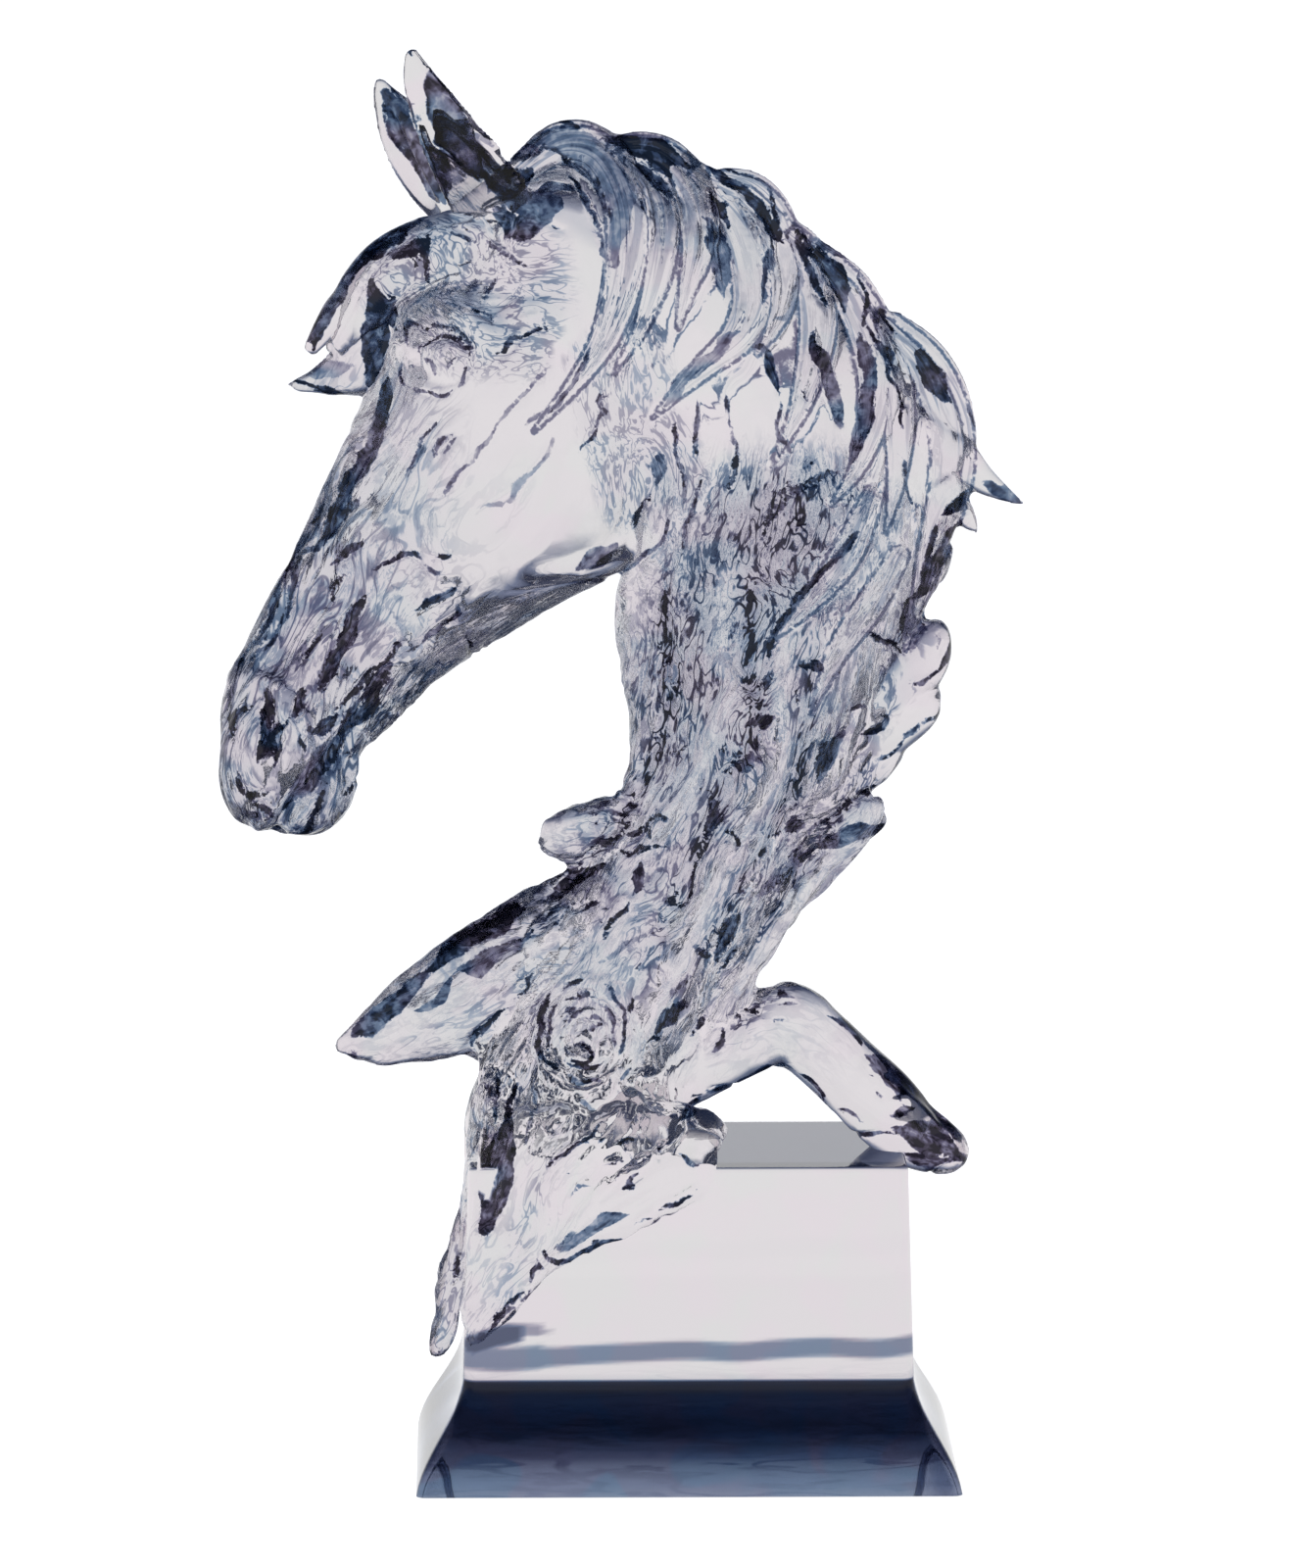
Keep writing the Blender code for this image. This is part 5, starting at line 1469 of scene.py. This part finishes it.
def add_painted_shade(obj):
    """Stores how much painted shade the band, the foot and the faces turned upwards have."""
    places, normals = read_mesh(obj)
    spots = on_grid(places)
    # Painted shade on the faces turned upwards.
    smoke = UP_PAINTED_SHADE * smooth_step(normals[:, 2], *UP_FACING) * smooth_step(spots[:, 1], *UP_HEIGHTS)
    flat = spots * (1, 1, 0)
    front = (spots[:, 2] < BLOCK_FRONT) & (places[:, 2] > FOOT_HEIGHT)
    # The wavy band of painted shade on the block's front.
    for width, strength, path in BLOCK_BAND:
        distance = follow(flat, flat_line(path, FINE_STEPS))[2]
        smoke = np.maximum(smoke, strength * front * (1 - smooth_step(distance, width * BAND_CORE, width)))
    # The foot's painted shade, darkest at its top, and lighter at the top of its side and back faces.
    foot = places[:, 2] < FOOT_HEIGHT + FOOT_SKIN
    share = np.clip(places[:, 2] / FOOT_HEIGHT, 0, 1)
    level = FOOT_PAINTED_SHADE_LOW + (FOOT_PAINTED_SHADE_TOP - FOOT_PAINTED_SHADE_LOW) * smooth_step(share, 0, FOOT_PAINTED_SHADE_RISE)
    behind = normals[:, 1] > FOOT_FRONT_FACING
    level[behind] *= smooth_step(1 - share[behind], *FOOT_CLEAR)
    smoke[foot] = level[foot]
    store(obj, "smoke", smoke)


def add_marks(obj):
    """Stores how many units inside a mark each place is, below zero past its edge, and its painted shade.
    """
    places, normals = read_mesh(obj)
    spots = on_grid(places)
    flat = spots * (1, 1, 0)
    warped = flat + warp_of(spots)
    depth = np.full(len(places), -float(MARK_MARGIN))
    tone = np.zeros(len(places))
    facing = smooth_step(normals[:, 1] * NEAR, *MARK_FACING) * ~on_plinth(places)
    for width, _, strength, path in MARKS:
        line = flat_line(path)
        taper, share, tone_share = LINE if width < WIDE_MARK else PATCH
        width *= share
        chosen = np.flatnonzero(near_path(flat, line, width + MARK_MARGIN + MARK_WARP))
        along, _, distance = follow(warped[chosen], line)
        end = np.minimum(along, length_of(line) - along) / (taper * width)
        reach = width * (MARK_END + (1 - MARK_END) * np.clip(end, 0, 1) ** MARK_POINT)
        inside = reach - distance
        deeper = inside > depth[chosen]
        depth[chosen[deeper]] = inside[deeper]
        tone[chosen[deeper]] = strength * tone_share
    store(obj, "mark", depth)
    store(obj, "mark_painted_shade", tone * facing)


# The resin.
ROUGHNESS = 0.03
REFRACTION = 1.3
# Its colour by its painted shade, which darkens it to blue or violet. Light passes two faces, so one
# tinted face shows the square root of a colour.
CLEAR = (0.725, 0.712, 0.722)
PINKISH = (0.745, 0.695, 0.732)
VIOLET_PAINTED_SHADE = [
    (0.00, PINKISH),
    (0.25, (0.25, 0.24, 0.33)),
    (0.50, (0.050, 0.047, 0.104)),
    (0.75, (0.0065, 0.0050, 0.013)),
    (1.00, (0.0004, 0.0003, 0.0008)),
]
BLUE_PAINTED_SHADE = [
    (0.00, CLEAR),
    (0.25, (0.19, 0.25, 0.36)),
    (0.50, (0.026, 0.055, 0.128)),
    (0.75, (0.0020, 0.0055, 0.022)),
    (1.00, (0.0001, 0.0003, 0.0012)),
]
# How rough and how distorted every noise is, the value in its middle, and the octaves of broad and of
# ragged ones.
NOISE_ROUGHNESS = 0.6
NOISE_DISTORTION = 0.4
NOISE_MIDDLE = 0.5
BROAD = 1
RAGGED = 2
# The finest relief: how many times finer than a fibre, its octaves, its height, and where its noise makes
# grooves that hold painted shade.
RELIEF_SCALE = 2.2
RELIEF_DETAIL = 2.5
RELIEF_HEIGHT = 0.0012
GROOVE_NOISE = (0.38, 0.48)
GROOVE_PAINTED_SHADE = 0.8
# How much painted shade the grain has between its grooves, as a share of theirs.
PAINTED_SHADE_BETWEEN_GROOVES = 0.14
# Curling outlines in the grain: their size as for the relief, their width in the noise, and their
# painted shade.
CURL_SCALE = 1.1
CURL_WIDTH = 0.030
CURL_PAINTED_SHADE = 0.8
# A mark's edge: how fine it is, how ragged where the grain holds most painted shade and where none, and
# how soft, in units.
EDGE_SCALE = 800
EDGE_RAGGED = 9
EDGE_EVEN = 3
EDGE_SOFTNESS = 1.6
# How its painted shade varies: how fine and by how much. Then the line of painted shade at a lock's
# edge: its half-width and painted shade.
# Lines are at their darkest in the middle of their half-width divided by LINE_CORE.
TONE_SCALE = 260
TONE_VARIES = 2.1
TONE_LEVEL = -0.08
LOCK_LINE = 2.8
LOCK_LINE_PAINTED_SHADE = 0.58
LINE_CORE = 3
# How broad the places are where the painted shade is violet or blue, and where its noise turns. Painted
# shade on the plinth, from one strength up to another, is at least this blue.
HUE_SCALE = 45
HUE_TURN = (0.42, 0.58)
SOLID_PAINTED_SHADE = (0.38, 0.44)
SOLID_BLUE = 0.6


def stored(tree, name, output="Fac"):
    """What is stored on the mesh under this name."""
    node = tree.nodes.new("ShaderNodeAttribute")
    node.attribute_name = name
    return node.outputs[output]


def math_node(tree, operation, *values):
    node = tree.nodes.new("ShaderNodeMath")
    node.operation = operation
    for socket, value in zip(node.inputs, values):
        if isinstance(value, (int, float)):
            socket.default_value = value
        else:
            tree.links.new(value, socket)
    return node.outputs[0]


def noise(tree, places, scale, detail):
    node = tree.nodes.new("ShaderNodeTexNoise")
    node.inputs["Scale"].default_value = scale
    node.inputs["Detail"].default_value = detail
    node.inputs["Roughness"].default_value = NOISE_ROUGHNESS
    node.inputs["Distortion"].default_value = NOISE_DISTORTION
    tree.links.new(places, node.inputs["Vector"])
    return node.outputs["Fac"]


def step(tree, value, low, high, top=1):
    """0 below low and top above high, or the other way round if low is the higher."""
    node = tree.nodes.new("ShaderNodeMapRange")
    node.interpolation_type = "SMOOTHSTEP"
    node.inputs["From Min"].default_value = low
    node.inputs["From Max"].default_value = high
    node.inputs["To Max"].default_value = top
    tree.links.new(value, node.inputs["Value"])
    return node.outputs[0]


def colour_ramp(tree, value, rows):
    node = tree.nodes.new("ShaderNodeValToRGB")
    tree.links.new(value, node.inputs["Fac"])
    stops = node.color_ramp.elements
    while len(stops) < len(rows):
        stops.new(rows[len(stops)][0])
    for stop, (position, colour) in zip(stops, rows):
        stop.position = position
        stop.color = (*colour, 1)
    return node.outputs["Color"]


def add_relief(tree, relief, shader):
    """Raises the finest relief as bumps in the shading."""
    bump = tree.nodes.new("ShaderNodeBump")
    bump.inputs["Distance"].default_value = RELIEF_HEIGHT
    tree.links.new(math_node(tree, "MULTIPLY", relief, stored(tree, "grain")), bump.inputs["Height"])
    tree.links.new(bump.outputs["Normal"], shader.inputs["Normal"])


def grain_painted_shade(tree, relief, fibre, hold):
    """The painted shade in the grain: in its grooves, in curling outlines, and thinner between them."""
    streaks = step(tree, relief, GROOVE_NOISE[1], GROOVE_NOISE[0], GROOVE_PAINTED_SHADE)
    curls = math_node(tree, "SUBTRACT", noise(tree, fibre, CURL_SCALE, BROAD), NOISE_MIDDLE)
    off_line = math_node(tree, "ABSOLUTE", curls)
    outlines = step(tree, off_line, CURL_WIDTH, CURL_WIDTH / LINE_CORE, CURL_PAINTED_SHADE)
    grooves = math_node(tree, "MULTIPLY", math_node(tree, "MAXIMUM", streaks, outlines), hold)
    return math_node(tree, "MULTIPLY_ADD", hold, PAINTED_SHADE_BETWEEN_GROOVES, grooves)


def mark_painted_shade(tree, relief, place, hold):
    """The painted shade in the marks and along the edges of the locks, with ragged outlines."""
    rough = math_node(tree, "SUBTRACT", noise(tree, place, EDGE_SCALE, RAGGED), NOISE_MIDDLE)
    amount = math_node(tree, "MULTIPLY_ADD", hold, EDGE_RAGGED, EDGE_EVEN)
    ragged = math_node(tree, "MULTIPLY", rough, amount)
    depth = math_node(tree, "ADD", stored(tree, "mark"), ragged)
    tone = math_node(tree, "MULTIPLY", stored(tree, "mark_painted_shade"), step(tree, depth, 0, EDGE_SOFTNESS))
    for wave in (noise(tree, place, TONE_SCALE, RAGGED), relief):
        level = math_node(tree, "MULTIPLY_ADD", wave, TONE_VARIES, TONE_LEVEL)
        tone = math_node(tree, "MULTIPLY", tone, level)
    line = math_node(tree, "ADD", stored(tree, "lock_edge"), ragged)
    edges = step(tree, line, LOCK_LINE, LOCK_LINE / LINE_CORE, LOCK_LINE_PAINTED_SHADE)
    return math_node(tree, "MAXIMUM", tone, edges)


def painted_shade_colour(tree, smoke, place, even):
    """Painted shade's colour: violet in some places, blue in others, and mostly blue on the plinth."""
    mix = tree.nodes.new("ShaderNodeMix")
    mix.data_type = "RGBA"
    hue = step(tree, noise(tree, place, HUE_SCALE, BROAD), *HUE_TURN)
    solid = step(tree, even, *SOLID_PAINTED_SHADE, SOLID_BLUE)
    tree.links.new(math_node(tree, "MAXIMUM", hue, solid), mix.inputs["Factor"])
    mixed = [socket for socket in mix.inputs if socket.type == "RGBA"]
    for socket, colours in zip(mixed, (VIOLET_PAINTED_SHADE, BLUE_PAINTED_SHADE)):
        tree.links.new(colour_ramp(tree, smoke, colours), socket)
    return next(socket for socket in mix.outputs if socket.type == "RGBA")


def resin():
    material = bpy.data.materials.new("clear_resin")
    material.use_nodes = True
    tree = material.node_tree
    shader = tree.nodes["Principled BSDF"]
    shader.inputs["Roughness"].default_value = ROUGHNESS
    shader.inputs["Transmission Weight"].default_value = 1
    shader.inputs["IOR"].default_value = REFRACTION
    place = tree.nodes.new("ShaderNodeTexCoord").outputs["Object"]
    fibre = stored(tree, "fibre", "Vector")
    hold = stored(tree, "groove_painted_shade")
    even = stored(tree, "smoke")
    relief = noise(tree, fibre, RELIEF_SCALE, RELIEF_DETAIL)
    add_relief(tree, relief, shader)
    # The painted shade of the marks, lock edges, band, foot, upturned faces and grain darkens the base
    # colour.
    smoke = math_node(tree, "MAXIMUM", mark_painted_shade(tree, relief, place, hold), even)
    smoke = math_node(tree, "ADD", smoke, grain_painted_shade(tree, relief, fibre, hold))
    tree.links.new(painted_shade_colour(tree, smoke, place, even), shader.inputs["Base Color"])
    return material


# The sky seen by the light: how high on the ball of directions, from 0 straight down to 1 straight up, and
# its colour.
SKY = [
    (0.00, (0.06, 0.07, 0.11)),
    (0.15, (0.10, 0.12, 0.20)),
    (0.23, (0.55, 0.58, 0.66)),
    (0.28, (1.00, 1.00, 1.00)),
    (0.62, (1.00, 1.00, 1.00)),
    (0.69, (0.25, 0.30, 0.42)),
    (0.80, (0.02, 0.03, 0.07)),
    (1.00, (0.05, 0.06, 0.10)),
]


def make_world():
    world = bpy.data.worlds.new("studio")
    bpy.context.scene.world = world
    world.use_nodes = True
    tree = world.node_tree
    place = tree.nodes.new("ShaderNodeTexCoord")
    parts = tree.nodes.new("ShaderNodeSeparateXYZ")
    height = tree.nodes.new("ShaderNodeMapRange")
    height.inputs["From Min"].default_value = -1
    tree.links.new(place.outputs["Generated"], parts.inputs[0])
    tree.links.new(parts.outputs["Z"], height.inputs["Value"])
    tree.links.new(colour_ramp(tree, height.outputs[0], SKY), tree.nodes["Background"].inputs["Color"])


# The floor's half-width, how far it lies under the casting, and its looks. The resin doesn't show it.
FLOOR_REACH = 8
FLOOR_GAP = 0.0004
FLOOR_COLOUR = (0.92, 0.92, 0.93, 1)
FLOOR_ROUGHNESS = 0.9
FLOOR_GLOW = 0.9
WHITE = (1, 1, 1, 1)


def make_floor():
    bm = bmesh.new()
    bmesh.ops.create_grid(bm, x_segments=1, y_segments=1, size=FLOOR_REACH)
    floor = object_of(bm, "floor")
    floor.location.z = -FLOOR_GAP
    material = bpy.data.materials.new("pale floor")
    material.use_nodes = True
    shader = material.node_tree.nodes["Principled BSDF"]
    shader.inputs["Base Color"].default_value = FLOOR_COLOUR
    shader.inputs["Roughness"].default_value = FLOOR_ROUGHNESS
    shader.inputs["Emission Color"].default_value = WHITE
    shader.inputs["Emission Strength"].default_value = FLOOR_GLOW
    floor.data.materials.append(material)
    floor.visible_transmission = False
    floor.visible_glossy = False


CAMERA_TARGET = Vector((-0.0102, 0, 0.212))
CAMERA_DISTANCE = 3.2
CAMERA_AZIMUTH = math.radians(-1)
CAMERA_ELEVATION = math.radians(8)
VIEW_HEIGHT = 0.484


def make_camera():
    data = bpy.data.cameras.new("camera")
    camera = linked("camera", data)
    bpy.context.scene.camera = camera
    level = math.cos(CAMERA_ELEVATION)
    right = math.sin(CAMERA_AZIMUTH) * level
    front = math.cos(CAMERA_AZIMUTH) * level
    back = Vector((right, -front, math.sin(CAMERA_ELEVATION)))
    camera.location = CAMERA_TARGET + back * CAMERA_DISTANCE
    camera.rotation_euler = (-back).to_track_quat("-Z", "Y").to_euler()
    data.sensor_fit = "VERTICAL"
    data.angle_y = 2 * math.atan(VIEW_HEIGHT / 2 / CAMERA_DISTANCE)


# The soft light: its width and height, its power, where it hangs and what it is aimed at.
SOFTBOX_SIZE = (1.6, 1.0)
SOFTBOX_POWER = 30
SOFTBOX_PLACE = Vector((-0.8, -1.2, 2.2))
SOFTBOX_TARGET = Vector((0, 0, 0.2))


def make_light():
    data = bpy.data.lights.new("softbox", "AREA")
    data.shape = "RECTANGLE"
    data.size, data.size_y = SOFTBOX_SIZE
    data.energy = SOFTBOX_POWER
    light = linked("softbox", data)
    light.location = SOFTBOX_PLACE
    light.rotation_euler = (SOFTBOX_TARGET - SOFTBOX_PLACE).to_track_quat("-Z", "Y").to_euler()
    light.visible_transmission = False
    light.visible_glossy = False


# How often light is followed through clear resin, and off its outside.
CLEAR_BOUNCES = 24
GLOSSY_BOUNCES = 8


def set_render():
    scene = bpy.context.scene
    scene.view_settings.view_transform = "Standard"
    scene.view_settings.look = "None"
    scene.cycles.max_bounces = CLEAR_BOUNCES
    scene.cycles.transmission_bounces = CLEAR_BOUNCES
    scene.cycles.glossy_bounces = GLOSSY_BOUNCES
    scene.cycles.caustics_reflective = False
    scene.cycles.caustics_refractive = False


casting = make_casting()
casting.data.materials.clear()
casting.data.materials.append(resin())
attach(casting, "root")
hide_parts("horse_head_on_plinth")
make_floor()
make_world()
make_light()
make_camera()
set_render()
